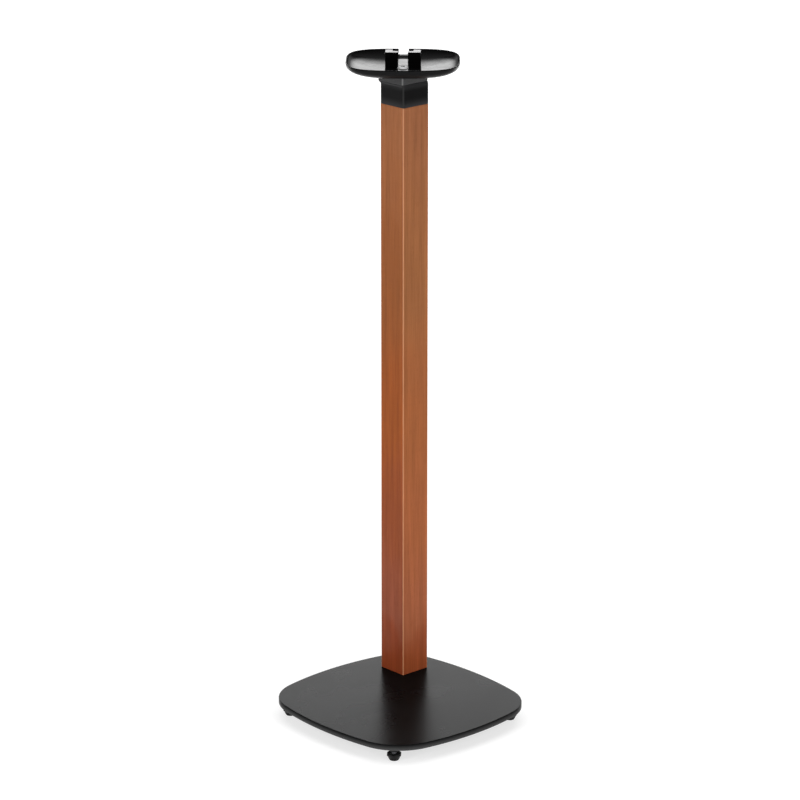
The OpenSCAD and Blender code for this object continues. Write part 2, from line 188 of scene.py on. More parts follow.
# %% Outlines with round corners
def rounded_outline(corners, radii, steps=8, spacing=None):
    """The outline through these corners, anticlockwise, with each corner replaced by an arc of
    its own radius that touches both sides. At a turn of t the arc starts r tan(t/2) before the
    corner, and its middle lies r to the inside, or to the outside at an inner corner."""
    corners = np.array(corners, float)
    ahead = np.roll(corners, -1, 0) - corners
    ahead /= np.linalg.norm(ahead, axis=1)[:, None]
    behind = np.roll(ahead, 1, 0)
    points, outward = [], []
    for corner, before, after, r in zip(corners, behind, ahead, radii):
        turn = math.atan2(before[0] * after[1] - before[1] * after[0], before @ after)
        side = math.copysign(1, turn)
        heading = math.atan2(before[1], before[0]) + np.linspace(0, turn, steps + 1)
        normal = np.stack([np.sin(heading), -np.cos(heading)], 1)
        start = corner - before * r * math.tan(abs(turn) / 2)
        points.append(start + side * r * (normal - normal[0]))
        outward.append(normal)
    points, outward = np.concatenate(points), np.concatenate(outward)
    return densely(points, outward, spacing) if spacing else (points, outward)


def densely(points, outward, spacing):
    """The same outline with points added along its straight stretches, at about this spacing."""
    step = np.roll(points, -1, 0) - points
    parts = np.maximum(1, np.round(np.linalg.norm(step, axis=1) / spacing).astype(int))
    index = np.repeat(np.arange(len(points)), parts)
    share = (np.arange(parts.sum()) - np.repeat(np.cumsum(parts) - parts, parts)) / parts[index]
    turned = np.roll(outward, -1, 0)[index]
    return (points[index] + step[index] * share[:, None],
            outward[index] * (1 - share[:, None]) + turned * share[:, None])


coin = rounded_outline([[1, -1], [1, 1], [-1, 1], [-1, -1]], [1] * 4)[0]
print("a square with fully round corners is a circle of radius",
      np.unique(np.linalg.norm(coin, axis=1).round(6)))

# %% [markdown]
# Hardly any real edge is sharp: a small round catches the light as a thin line. A Bevel modifier
# could break the edges of each mesh. The rings can also do it themselves, and then the round has
# exactly the size asked for: the outline steps inwards along a quarter circle while it climbs.
# So a level of a piece is an inset and a height.

# %% Rounded edges and stacked outlines
def eased(low, high, radius, steps=5):
    """Inset and height of each ring of a body from low to high whose two edges are rounded: the
    inset is r - r cos a while the height moves by r sin a, over a quarter turn at each end."""
    a = np.linspace(-math.pi / 2, 0, steps + 1)
    inset = radius - radius * np.cos(a)
    rise = radius + radius * np.sin(a)
    return np.concatenate([np.stack([inset, low + rise], 1),
                           np.stack([inset, high - rise], 1)[::-1]])


def stacked(outline, levels, centre, turn=0.0):
    """Rings of an outline: each point less the level's inset times its outward direction, up at
    the level's height, then turned anticlockwise about the centre that they stand on."""
    points, outward = outline
    flat = points[None] - levels[:, 0, None, None] * outward[None]
    c, s = math.cos(turn), math.sin(turn)
    x = centre[0] + c * flat[..., 0] - s * flat[..., 1]
    y = centre[1] + s * flat[..., 0] + c * flat[..., 1]
    z = np.broadcast_to(levels[:, 1, None], x.shape)
    return np.stack([x, y, z], -1)


edge_levels = len(eased(0, 1, 0.1)) // 2
print("each rounded edge takes", edge_levels, "levels")

# %% [markdown]
# Washers, pads, studs and the bolt are turned on a lathe, or nearly. A Spin could carry a profile
# round the axis, but some of these pieces are six-sided on part of their height. So here a row
# of the profile is a radius and a height, and either may be a number or change with the angle.

# %% Turned pieces
def around(radius, height, centre, columns=96):
    """Rings round a centre. Point j stands at the angle a = j / columns of a full turn, r cos a
    and r sin a away from the centre. Radius is a number for each ring, or an array of ring by
    column where a ring isn't round, and so is height."""
    angle = np.arange(columns) / columns * TURN
    shape = len(height), columns
    radius = np.broadcast_to(np.asarray(radius, float).reshape(len(height), -1), shape)
    height = np.broadcast_to(np.asarray(height, float).reshape(len(height), -1), shape)
    x = centre[0] + radius * np.cos(angle)
    y = centre[1] + radius * np.sin(angle)
    return np.stack([x, y, height], -1)


def turned(rows, centre, columns=96):
    """Rings from a list of radius and height pairs. Each is a number, or an array with one
    number for every column."""
    radius = np.stack([np.broadcast_to(r, columns) for r, _ in rows])
    height = np.stack([np.broadcast_to(z, columns) for _, z in rows])
    return around(radius, height, centre, columns)


print("a disc has rings of", turned([(1, 0), (1, 1)], (0, 0)).shape[1], "points")

# %% [markdown]
# ## Finishes
# A finish could be a picture wrapped round the piece, but a picture blurs close up and shows a
# seam. The shaders here are procedural, so they hold at any distance. Each starts from the
# Principled shader and adds what the real finish shows: the orange peel of a baked coating, the
# grain and pores under a lacquer, the mould grain of plastic. Object coordinates are in metres,
# so a noise scale of 1000 has features of about a millimetre.

# %% Start a finish
def new_finish(name, colour, roughness, metallic=0.0, specular=0.5):
    """A material with a Principled shader of one colour, and the tree to add detail to. Specular
    0.5 mirrors 4 % face on, as most varnishes do."""
    finish = bpy.data.materials.new(name)
    finish.use_nodes = True
    shader = finish.node_tree.nodes["Principled BSDF"]
    shader.inputs["Base Color"].default_value = (*colour, 1)
    shader.inputs["Roughness"].default_value = roughness
    shader.inputs["Metallic"].default_value = metallic
    shader.inputs["Specular IOR Level"].default_value = specular
    finish.diffuse_color = (*colour, 1)
    return finish, finish.node_tree, shader


def is_output(value):
    """Whether a value is an output of a node, and not a plain number or colour."""
    return isinstance(value, bpy.types.NodeSocket)


def node(tree, kind, inputs=None, **settings):
    """Adds a node, and sets its settings and its inputs. An input that is an output of another
    node is linked."""
    added = tree.nodes.new(kind)
    for key, value in settings.items():
        setattr(added, key, value)
    for key, value in (inputs or {}).items():
        if is_output(value):
            tree.links.new(value, added.inputs[key])
        else:
            added.inputs[key].default_value = value
    return added


def feed(tree, shader, values):
    """Links each value to the shader's input of that name."""
    for name, value in values.items():
        tree.links.new(value, shader.inputs[name])


print("helpers made:", *(f.__name__ for f in (new_finish, is_output, node, feed)))

# %% [markdown]
# Nodes could be wired one by one, but then the thought behind a material is lost among the
# links. So each kind of node that the finishes share gets a small function that returns its
# result, and a material reads like a sum. All of them take the tree first, then what goes in,
# then the numbers.

# %% Places and patterns
def object_place(tree):
    """The place on the stand, in metres."""
    return node(tree, "ShaderNodeTexCoord").outputs["Object"]


def marked(tree, name):
    """The number that the skin was marked with under this name, and 0 on other skins."""
    return node(tree, "ShaderNodeAttribute", attribute_name=name).outputs["Fac"]


def noise(tree, where, scale, detail=2.0, rough=0.5):
    """A noise pattern with features of about 1 / scale metres. Returns its grey value."""
    return node(tree, "ShaderNodeTexNoise", {"Vector": where, "Scale": scale, "Detail": detail,
                                             "Roughness": rough}).outputs["Fac"]


def drawn_out(tree, where, scale, shift=(0, 0, 0)):
    """A place whose x, y and z are scaled, so that noise on it is stretched along an axis."""
    return node(tree, "ShaderNodeMapping", {"Vector": where, "Location": shift,
                                            "Scale": scale}).outputs["Vector"]


def split(tree, where):
    """The x, y and z of a place."""
    return node(tree, "ShaderNodeSeparateXYZ", {"Vector": where}).outputs


print("noise of scale 1000 has features of", 1 / 1000 / MM, "mm")

# %% [markdown]
# A pattern is a number between 0 and 1 at every point, and most of the work is to turn it into
# the range that a finish needs. A Color Ramp could do that for every number, but its stops hide
# the values. A Map Range node takes them as they are, and a few steps of arithmetic do the rest.

# %% Arithmetic
def ramp(tree, value, given, wanted=(0.0, 1.0), **settings):
    """Maps a value between the two given ones to the two wanted ones, and holds the ends."""
    inputs = {"Value": value, "From Min": given[0], "From Max": given[1],
              "To Min": wanted[0], "To Max": wanted[1]}
    return node(tree, "ShaderNodeMapRange", inputs, **settings).outputs["Result"]


def worked_out(tree, operation, a, b=0.0):
    """One arithmetic step on one or two values."""
    return node(tree, "ShaderNodeMath", {0: a, 1: b}, operation=operation).outputs[0]


def plus(tree, a, b):
    """a and b added."""
    return worked_out(tree, "ADD", a, b)


def times(tree, a, b):
    """a times b."""
    return worked_out(tree, "MULTIPLY", a, b)


print("helpers made:", *(f.__name__ for f in (ramp, worked_out, plus, times)))

# %% [markdown]
# Two more helpers end most materials. One mixes two colours. The other tilts the surface as a
# fine relief would: real relief could be modelled, but at a hundredth of a millimetre it would
# need millions of faces, and only the light on it shows.

# %% Colours and relief
def mixed(tree, share, a, b):
    """Two colours mixed: a where share is 0, b where it is 1. In a mix of colours, input 0 is
    the share, 6 and 7 are the colours, and output 2 is the result."""
    a, b = (colour if is_output(colour) else (*colour, 1) for colour in (a, b))
    return node(tree, "ShaderNodeMix", {0: share, 6: a, 7: b}, data_type="RGBA").outputs[2]


def grey(level):
    """A colour that is equally red, green and blue."""
    return level, level, level


def relief(tree, shader, height, depth):
    """Tilts the surface as a relief of this depth in metres would."""
    bump = node(tree, "ShaderNodeBump", {"Height": height, "Distance": depth, "Strength": 1.0})
    feed(tree, shader, {"Normal": bump.outputs["Normal"]})


print("grey 0.5 is the colour", grey(0.5))

# %% [markdown]
# ### Baked black coating
# The plate, the collar and the block are steel under a satin black powder coating. Powder melts
# into a film that isn't quite level, so it has a soft orange peel of about two millimetres and
# a finer grit, and its gloss drifts a little. One plain glossy black could do from afar, but
# black needs care: its own colour is next to nothing, so all that shows is what it mirrors. So
# the coat is a nearly black colour that mirrors weakly. Where a skin is marked for it, the coat
# is painted greyer as painted light: a painted highlight along the upright corners of the collar
# and the block, and the floor's light painted onto the side of the plate. The collar is also
# painted lighter towards both ends, a painted sheen.

# %% Coating finishes
peel_depth = 0.012 * MM
gloss_drift = 0.025
# painted sheen: the grey that the collar's coat is painted lighter to towards both its ends
collar_end_sheen = (0.037, 0.037, 0.038)


def near_ends(tree, where, low, high):
    """0 over the middle of a height from low to high, and about 1 at both its ends."""
    height = split(tree, where)["Z"]
    ends = plus(tree, ramp(tree, height, (low, low + 11 * MM), (0.95, 0)),
                ramp(tree, height, (high - 9 * MM, high)))
    return worked_out(tree, "POWER", ends, 1.6)


def coating(name, colour, roughness, specular, painted_light_grey, ends=None):
    """Satin black coating. Where the skin is marked for painted light, the coat is painted to the
    grey given after the specular: a painted highlight on corners, or the floor's light painted on
    a side. Ends are the two heights towards which the coat is painted lighter too, a painted
    sheen, where it has any."""
    finish, tree, shader = new_finish(name, colour, roughness, specular=specular)
    where = object_place(tree)
    waves = noise(tree, where, 420)
    grit = noise(tree, where, 2600, 3, 0.6)
    cloud = noise(tree, where, 14, 3)
    lighter = tuple(1.6 * c for c in colour)
    coat = mixed(tree, ramp(tree, grit, (0.45, 0.75)), colour, lighter)
    if ends:
        # painted sheen: lighter towards both ends of the collar
        coat = mixed(tree, near_ends(tree, where, *ends), coat, collar_end_sheen)
    # painted light: greyer where the skin is marked, as highlights on corners and floor light on
    # the plate's side
    coat = mixed(tree, marked(tree, "painted_light"), coat, grey(painted_light_grey))
    satin = ramp(tree, cloud, (0.3, 0.7), (roughness - gloss_drift, roughness + gloss_drift))
    feed(tree, shader, {"Base Color": coat, "Roughness": satin})
    relief(tree, shader, plus(tree, waves, times(tree, grit, 0.35)), peel_depth)
    return finish


plate_coating = coating("plate coating", (0.0020, 0.0022, 0.0023), 0.28,
                        specular=0.0115, painted_light_grey=0.066)
collar_coating = coating("collar coating", (0.0032, 0.0032, 0.0033), 0.36,
                         specular=0.04, painted_light_grey=0.03,
                         ends=(bottom("tray_block") - 28 * MM, bottom("tray_block")))
block_coating = coating("block coating", (0.057, 0.057, 0.0575), 0.36, specular=0.05, painted_light_grey=0.20)
print("coatings:", plate_coating.name, collar_coating.name, block_coating.name)

# %% [markdown]
# ### The tray's smooth black
# The dish is pressed from thin metal and lacquered smoother than the plate. It could share the
# plate's coating, but smooth lacquer mirrors a sharper picture: almost nothing where it faces
# the viewer, and a third of the light where it is seen almost edge on, which is the shader's own
# Fresnel effect. So it gets a finish of its own. The marks on the skin make the outside of the
# bowl more satin, and lay the cable's ramp bare.

# %% Dish finish
inside_mirror = 0.06
outside_mirror = 0.03


def dish_finish():
    """Smooth black lacquer with a faint cloudiness in its gloss. It is satin where the skin is
    marked as outside, and bare brushed metal where it is marked as bare."""
    finish, tree, shader = new_finish("dish lacquer", (0.003, 0.003, 0.0031), 0.14,
                                      specular=inside_mirror)
    where = object_place(tree)
    outside, bare = marked(tree, "outside"), marked(tree, "bare")
    cloud = noise(tree, where, 70, 4, 0.6)
    grit = noise(tree, where, 1900, 3, 0.6)
    inner = mixed(tree, ramp(tree, grit, (0.45, 0.8)),
                  (0.0022, 0.0022, 0.0023), (0.0045, 0.0045, 0.0047))
    paint = mixed(tree, outside, inner, (0.009, 0.009, 0.0092))
    gloss = plus(tree, ramp(tree, cloud, (0.3, 0.7), (0.12, 0.18)), times(tree, outside, 0.22))
    mirror = ramp(tree, outside, (0, 1), (inside_mirror, outside_mirror))
    feed(tree, shader, {"Base Color": mixed(tree, bare, paint, grey(0.36)),
                        "Metallic": times(tree, bare, 0.8),
                        "Specular IOR Level": mirror,
                        "Roughness": plus(tree, gloss, times(tree, bare, 0.15))})
    relief(tree, shader, grit, 0.004 * MM)
    return finish


dish_lacquer = dish_finish()
print("dish:", dish_lacquer.name)

# %% [markdown]
# ### Lacquered veneer
# The post is veneered in a reddish-brown wood with a straight, fine grain. It could be a
# photograph of a board, but that repeats and can't be turned to any length. Grain is also just
# noise stretched along the board: broad bands of early and late wood, fine fibres inside them,
# and short dark pores. A thin lacquer lies over it, so the pores only just press into the gloss.
# The colour also drifts slowly from brown at the top to a darker red at the foot, through a few
# tones at fixed heights. The darkening at the foot is partly painted shade, where the black plate
# below throws little light up.

# %% Wood colours
# the lowest tones are darker partly as painted shade near the plate
tone_heights = (0.05, 0.11, 0.23, 0.36, 0.55, 0.74)
right_tones = ((0.323, 0.074, 0.024), (0.379, 0.112, 0.046), (0.371, 0.111, 0.039),
               (0.321, 0.100, 0.032), (0.309, 0.114, 0.040), (0.296, 0.108, 0.044))
left_tones = ((0.264, 0.051, 0.016), (0.297, 0.080, 0.039), (0.273, 0.066, 0.021),
              (0.298, 0.074, 0.015), (0.267, 0.083, 0.023), (0.317, 0.113, 0.042))
board_tones = {"front_right": right_tones, "back_right": left_tones,
               "back_left": right_tones, "front_left": left_tones}


def toned(tree, height, tones):
    """A colour that drifts softly through the tones, each at its own height in metres."""
    band = node(tree, "ShaderNodeValToRGB", {"Fac": height})
    band.color_ramp.interpolation = "EASE"
    stops = band.color_ramp.elements
    while len(stops) < len(tones):
        stops.new(0.5)
    for stop, at, tone in zip(stops, tone_heights, tones):
        stop.position, stop.color = at, (*tone, 1)
    return band.outputs["Color"]


def shaded(tree, colour, share):
    """A colour made darker or lighter by a factor."""
    factor = node(tree, "ShaderNodeCombineXYZ", {"X": share, "Y": share, "Z": share}).outputs[0]
    return node(tree, "ShaderNodeVectorMath", {0: colour, 1: factor},
                operation="MULTIPLY").outputs["Vector"]


print("tones of wood:", len(tone_heights), "on each of", len(board_tones), "boards")

# %% [markdown]
# The four boards could share one material, but real sheets of veneer differ. So one function
# makes a finish for each board, with its own tones and its own stretch of the pattern, which
# follows the board's UV map in metres. Along the arris the veneer is painted a little lighter: a
# painted highlight on the rounded edge.

# %% Veneer finishes
pore_colour = (0.12, 0.034, 0.014)
# painted highlight along each arris: its colour, where it starts across the board, and its share
arris_highlight_colour = (0.62, 0.30, 0.16)
arris_highlight_reach = (0.0191, 0.0203)
arris_highlight_share = 0.8


def veneer(name, shift, tones):
    """Fine upright grain under lacquer. Shift moves the pattern, so that no two boards are
    alike. Tones are the board's colours at the tone heights."""
    finish, tree, shader = new_finish(name, tones[-1], 0.42, specular=0.05)
    leaf = node(tree, "ShaderNodeUVMap", uv_map="along_the_grain").outputs["UV"]

    def grained(along, scale, detail, rough=0.5):
        """Noise on the leaf, moved by the shift and drawn out along the grain."""
        where = drawn_out(tree, leaf, (1, along, 1), (shift, shift * 0.7, 0))
        return noise(tree, where, scale, detail, rough)

    bands = grained(0.035, 150, 3, 0.55)
    fibres = grained(0.02, 900, 3, 0.6)
    pores = ramp(tree, grained(0.05, 2300, 2), (0.60, 0.70), (0, 0.35))
    ripple = grained(0.55, 26, 2)
    parts = split(tree, leaf)
    rippled = plus(tree, parts["Y"], times(tree, ripple, 0.12))
    base = toned(tree, worked_out(tree, "SUBTRACT", rippled, 0.06), tones)
    figure = plus(tree, times(tree, bands, 0.55), times(tree, fibres, 0.45))
    wood = shaded(tree, base, ramp(tree, figure, (0.36, 0.64), (0.80, 1.18)))
    wood = mixed(tree, pores, wood, pore_colour)
    off_middle = worked_out(tree, "ABSOLUTE", parts["X"])
    # painted highlight along the arris
    painted_light = ramp(tree, off_middle, arris_highlight_reach, (0, arris_highlight_share))
    feed(tree, shader, {"Base Color": mixed(tree, painted_light, wood, arris_highlight_colour),
                        "Roughness": ramp(tree, fibres, (0.3, 0.7), (0.36, 0.48))})
    dip = worked_out(tree, "SUBTRACT", times(tree, fibres, 0.3), pores)
    relief(tree, shader, dip, 0.02 * MM)
    shader.inputs["Coat Weight"].default_value = 0.04
    shader.inputs["Coat Roughness"].default_value = 0.22
    return finish


veneers = {name: veneer("veneer " + name, 0.3 + 0.9 * k, tones)
           for k, (name, tones) in enumerate(board_tones.items())}
print("veneers:", *veneers)

# %% [markdown]
# ### Steel
# The studs, the rod, its nut and washer are zinc-plated: pale grey, a little cloudy, with fine
# turning marks. The bolt is brighter and polished. A metallic shader of one colour could do,
# but it looks like plastic foil, so the noise is squeezed along the axis until it draws the
# marks of the lathe, and the same marks stir the gloss and the relief.

# %% Steel finishes
# painted shade: the dark grey in the bolt's socket and under its head
painted_shade_grey = grey(0.20)


def steel(name, colour, roughness, metallic=1.0):
    """Plated or turned steel with cloudy brightness and fine marks across the axis. It is painted
    dark, as painted shade, where the skin is marked for it."""
    finish, tree, shader = new_finish(name, colour, roughness, metallic)
    where = object_place(tree)
    lines = noise(tree, drawn_out(tree, where, (1, 1, 6)), 900, 3, 0.6)
    darker = tuple(0.78 * c for c in colour)
    metal = mixed(tree, noise(tree, where, 180, 3), darker, colour)
    feed(tree, shader, {"Base Color": mixed(tree, marked(tree, "painted_shade"), metal, painted_shade_grey),
                        "Roughness": ramp(tree, lines, (0.3, 0.7),
                                          (roughness - 0.06, roughness + 0.08))})
    relief(tree, shader, lines, 0.008 * MM)
    return finish


plated_steel = steel("zinc-plated steel", (0.60, 0.61, 0.63), 0.30)
plain_steel = steel("turned steel", (0.46, 0.46, 0.47), 0.38)
bright_steel = steel("bright bolt steel", (0.94, 0.94, 0.95), 0.30, metallic=0.4)
print("steels:", plated_steel.name, plain_steel.name, bright_steel.name)

# %% [markdown]
# ### Plastic and rubber
# The glides are moulded plastic and the pads under them are rubber, both black, with a fine
# grain from the mould and a little dust. The grain could be the cells of a Voronoi texture, but
# on pieces this small soft noise looks the same. One finish serves both: the plastic is
# glossier, and the rubber duller with a deeper grain.

# %% Plastic and rubber finishes
def moulded(name, colour, roughness, scale, depth):
    """Moulded black plastic or rubber with a fine grain of this scale and depth."""
    finish, tree, shader = new_finish(name, colour, roughness, specular=0.16)
    where = object_place(tree)
    cells = noise(tree, where, scale, 3, 0.6)
    dust = ramp(tree, noise(tree, where, 90, 4), (0.5, 0.8))
    dusty = tuple(2.2 * c for c in colour)
    feed(tree, shader, {"Base Color": mixed(tree, dust, colour, dusty),
                        "Roughness": ramp(tree, cells, (0.3, 0.7),
                                          (roughness - 0.05, roughness + 0.05))})
    relief(tree, shader, cells, depth)
    return finish


glide_plastic = moulded("glide plastic", (0.006, 0.006, 0.0062), 0.30, 1700, 0.012 * MM)
pad_rubber = moulded("pad rubber", grey(0.007), 0.62, 1300, 0.03 * MM)
print("moulded:", glide_plastic.name, pad_rubber.name)

# %% [markdown]
# ### Prong coating
# The prongs are coated deep black, and their milled tops are bare metal that mirrors the pale
# surroundings. The tops could be pieces of their own with a second material. But the coat ends
# exactly at the edge, so a mark on the skin is enough to switch from paint to metal.

# %% Prong finish
def prong_finish():
    """Black-coated metal, bare and polished where the skin is marked as bare."""
    finish, tree, shader = new_finish("prong coating", grey(0.0015), 0.30, specular=0.05)
    where = object_place(tree)
    bare = marked(tree, "bare")
    milled = noise(tree, drawn_out(tree, where, (8, 1, 1)), 500, 3, 0.6)
    metal = mixed(tree, milled, (0.10, 0.10, 0.102), grey(0.14))
    grit = noise(tree, where, 2400, 3, 0.6)
    paint = mixed(tree, ramp(tree, grit, (0.4, 0.8)), grey(0.001), grey(0.003))
    feed(tree, shader, {"Base Color": mixed(tree, bare, paint, metal),
                        "Metallic": times(tree, bare, 0.15),
                        "Roughness": ramp(tree, bare, (0, 1), (0.34, 0.18))})
    relief(tree, shader, grit, 0.006 * MM)
    return finish


prong_coating = prong_finish()
print("prongs:", prong_coating.name)

# %% [markdown]
# ## The base plate
# Seen from above the plate is a square whose sides bow out and run without a kink into wide
# round corners. It could be a subdivided cube pushed into shape, but the real plate is cut to
# arcs, so the outline is eight arcs: each side's arc is the one that touches both corner
# circles. Its edge is broken by a small round, which draws the thin light line along it.

# %% Plate outline
plate_width = 257 * MM
plate_length = 266 * MM
plate_bow = 6 * MM
plate_corner = 63 * MM
plate_edge = 0.9 * MM


def bowed_square(width, length, bow, corner, steps=20):
    """Outline of a square with bowed sides. With u = bow + corner radius c, and k the distance
    of the corner circle's middle from the side's middle, a side's arc has the radius
    (u u - c c + k k) / (2 bow). Each quarter is that arc and then the corner's arc."""
    points, outward = [], []
    halves = (width / 2, length / 2)
    for quarter in range(4):
        half, other = halves[quarter % 2], halves[(quarter + 1) % 2]
        near, far = half - bow - corner, other - bow - corner
        u = bow + corner
        r = (u * u - corner * corner + far * far) / (2 * bow)
        r_next = (u * u - corner * corner + near * near) / (2 * bow)
        meet = math.atan2(far, near - half + r)
        meet_next = math.atan2(near, far - other + r_next)
        side = np.linspace(-meet, meet, steps)
        bend = np.linspace(meet, math.pi / 2 - meet_next, steps + 1)[1:-1]
        side_arc = np.stack([half - r + r * np.cos(side), r * np.sin(side)], 1)
        corner_arc = np.stack([near + corner * np.cos(bend), far + corner * np.sin(bend)], 1)
        angle = np.concatenate([side, bend])
        c = round(math.cos(quarter * math.pi / 2))
        s = round(math.sin(quarter * math.pi / 2))
        turn = np.array([[c, s], [-s, c]])
        points.append(np.concatenate([side_arc, corner_arc]) @ turn)
        outward.append(np.stack([np.cos(angle), np.sin(angle)], 1) @ turn)
    return np.concatenate(points), np.concatenate(outward)


plate_outline = bowed_square(plate_width, plate_length, plate_bow, plate_corner)
print("plate outline:", len(plate_outline[0]), "points")

# %% [markdown]
# The side of the plate is painted paler than its top, most of all at its foot: painted light,
# for the light that the white floor throws onto the side. It could be lightened by its height in
# the material, but then the feet and the underside would have to be told apart. A mark on the
# skin needs no such test: it is 1 up to the foot of the side and falls almost to 0 under the top
# edge.

# %% Plate skin
plate_rings = stacked(plate_outline,
                      eased(bottom("base_plate"), top("base_plate"), plate_edge),
                      plate_middle, math.pi / 4)
# painted light on the plate's side, strongest at its foot
painted_edge_light = np.concatenate([np.ones(edge_levels), np.linspace(0.08, 0, edge_levels)])[:, None]
plate_skin = mark(skin("base_plate_skin", plate_rings), "painted_light",
                  np.broadcast_to(painted_edge_light, plate_rings.shape[:2]), 0, 0)
place(plate_skin, plate_coating, "stand", "plate_coating", "base_plate")
print("plate:", made["base_plate_skin"], "faces")

# %% [markdown]
# ## Levelling feet
# Under each corner a threaded bush is pressed into the plate. A stud runs up into it, and its
# lower end is moulded into a six-sided glide over a rubber pad. A glide could be a hexagonal
# prism with a cone cut from it, but a cut leaves long thin faces. In numbers the shape is
# simple: at every point the radius is the smaller of the hexagon's and the cone's.

# %% Six-sided sections
FLAT_TO_CORNER = math.cos(math.pi / 6)


def hexagon(columns, half_flat, corner_reach, turn=0.0):
    """Radius of a hexagon at each column: half its width over the cosine of the angle from the
    nearest flat, held to a reach that takes the sharpness off its corners."""
    angle = np.arange(columns) / columns * TURN - turn
    off_flat = (angle + math.pi / 6) % (math.pi / 3) - math.pi / 6
    return np.minimum(half_flat / np.cos(off_flat), corner_reach)


print("over its corners a hexagon is", round(1 / FLAT_TO_CORNER, 3), "times its width")

# %% [markdown]
# The studs and the rod are threaded. Blender's Screw modifier could wind a profile up the axis,
# but its ends stay open and ragged. Here the thread is a radius that depends on the height and
# the angle together: it dips along a line that climbs one pitch in each turn, and the dips fade
# out at both ends.

# %% Threads
thread_columns = 36
rings_a_pitch = 14


def threaded(low, high, radius, pitch, depth, fade):
    """Radius and height of the rings of a right-hand thread. The dip is a V with a flat floor
    and a flat crest, and near the ends the crest comes down to a chamfer."""
    height = np.linspace(low, high, int((high - low) / pitch * rings_a_pitch) + 1)
    angle = np.arange(thread_columns) / thread_columns
    phase = (height[:, None] / pitch - angle[None]) % 1
    dip = np.clip(1.25 - 2.6 * np.abs(phase - 0.5), 0, 1)
    ends = np.clip(np.minimum(height - low, high - height) / fade, 0, 1)[:, None]
    return radius - np.maximum(depth * dip, (1 - ends) * depth), height


print("a thread has", rings_a_pitch * thread_columns, "points in each turn")

# %% [markdown]
# The glide is one run of rings from its foot to the socket of the stud: a round skirt, then the
# hexagon under its cone, then the top face, which is dished a little. It could be a skirt and
# a nut as two meshes. But the real one is a single moulding, and one run leaves no seam.

# %% Glides
foot_flat = 17 * MM / 2
foot_corner = foot_flat / FLAT_TO_CORNER
skirt_low = 14.4 * MM / 2
skirt_height = 3.4 * MM
cone_slope = 1.5
stud_radius = 3 * MM
stud_hole = 3.4 * MM
close_fit = 0.05 * MM


def glide_rings(centre, low, high):
    """Skirt, then the hexagon held under a cone, then the dished top face and the stud's
    socket. The cone's radius grows by its slope times the depth below the top."""
    columns = 96
    shoulder = low + skirt_height
    skirt = [(skirt_low - 0.3 * MM, low), (skirt_low, low + 0.25 * MM),
             (foot_flat - 0.25 * MM, shoulder - 0.3 * MM), (foot_flat - 0.05 * MM, shoulder)]
    six = hexagon(columns, foot_flat, foot_corner - 0.25 * MM)
    rise = np.linspace(shoulder, high, 12)
    cone = foot_flat - 0.35 * MM + (high - rise) * cone_slope
    body = [(np.minimum(six, reach), z) for reach, z in zip(cone, rise)]
    face = [(foot_flat - 0.8 * MM, high), (stud_hole + 0.6 * MM, high - 0.1 * MM),
            (stud_hole, high - 0.6 * MM), (stud_radius + close_fit, high - 0.7 * MM)]
    return turned(skirt + body + face, centre, columns)


print("glides:", round(2 * foot_flat / MM, 1), "mm over the flats")

# %% [markdown]
# Under the glide sits a tapered rubber ring with one groove, and over it the round bush. They
# could be plain cylinders, as they are hardly seen. But a broken edge and a groove are only a
# few rings more, and in a close view they keep the pieces from looking cut out of paper.

# %% Pads and bushes
pad_low = 10.6 * MM / 2
bush_radius = 5 * MM
small_columns = 72


def pad_rings(centre, low, high):
    """A tapered rubber ring: the radius grows evenly with the height, less a little at the
    tread's edge, at the rim and in one groove round the side."""
    share = np.array([0, 0.04, 0.12, 0.3, 0.42, 0.46, 0.56, 0.60, 0.72, 0.92, 1.0])
    radius = pad_low + (skirt_low - pad_low) * share
    tread, above_tread, groove, rim = 0, 1, slice(5, 7), -1
    radius[tread] -= 0.45 * MM
    radius[above_tread] -= 0.14 * MM
    radius[groove] -= 0.35 * MM
    radius[rim] -= 0.35 * MM
    return around(radius, low + (high - low) * share, centre, small_columns)


def bush_rings(centre, low, high):
    """A round bush with broken edges and a countersunk mouth, open right through."""
    r, hole = bush_radius, stud_radius + close_fit
    rows = [(hole + 0.5 * MM, low), (r - 0.5 * MM, low), (r - 0.15 * MM, low + 0.12 * MM),
            (r, low + 0.45 * MM), (r, high), (hole, high), (hole, low + 0.5 * MM)]
    return turned(rows, centre, small_columns)


print("pads:", round(2 * pad_low / MM, 1), "mm across the tread")

# %% [markdown]
# Now the four feet are set in place. One foot could be copied four times, but each is a set of
# bodies of its own in the frame: the stud slides in its bush, and the glide and the pad slide
# with it and turn. So each foot's pieces are made where it stands and ride on its own bodies.

# %% Set the feet
stud_pitch = 1 * MM
stud_dip = 0.55 * MM
stud_fade = 0.6 * MM

for foot in ("front", "right", "back", "left"):
    stud, glide, pad = (f"foot_{foot}_{part}" for part in ("stud", "glide", "pad"))
    screw, turning = f"foot_{foot}_screw", f"foot_{foot}_foot"
    centre = middle(stud)[:2]
    thread = threaded(bottom(stud), top(stud), stud_radius, stud_pitch, stud_dip, stud_fade)
    place(skin(stud + "_skin", around(*thread, centre, thread_columns)),
          plated_steel, screw, "plated_steel", stud)
    place(skin(glide + "_skin", glide_rings(centre, bottom(glide), top(glide))),
          glide_plastic, turning, "glide_plastic", glide)
    place(skin(pad + "_skin", pad_rings(centre, bottom(pad), top(pad))),
          pad_rubber, turning, "pad_rubber", pad)
    bush = bush_rings(centre, bottom("foot_bushes"), bottom("base_plate"))
    place(skin(f"foot_{foot}_bush_skin", bush, ends=False),
          collar_coating, "stand", "plated_steel", "foot_bushes")
print("feet:", sum("foot" in name for name in made), "pieces")

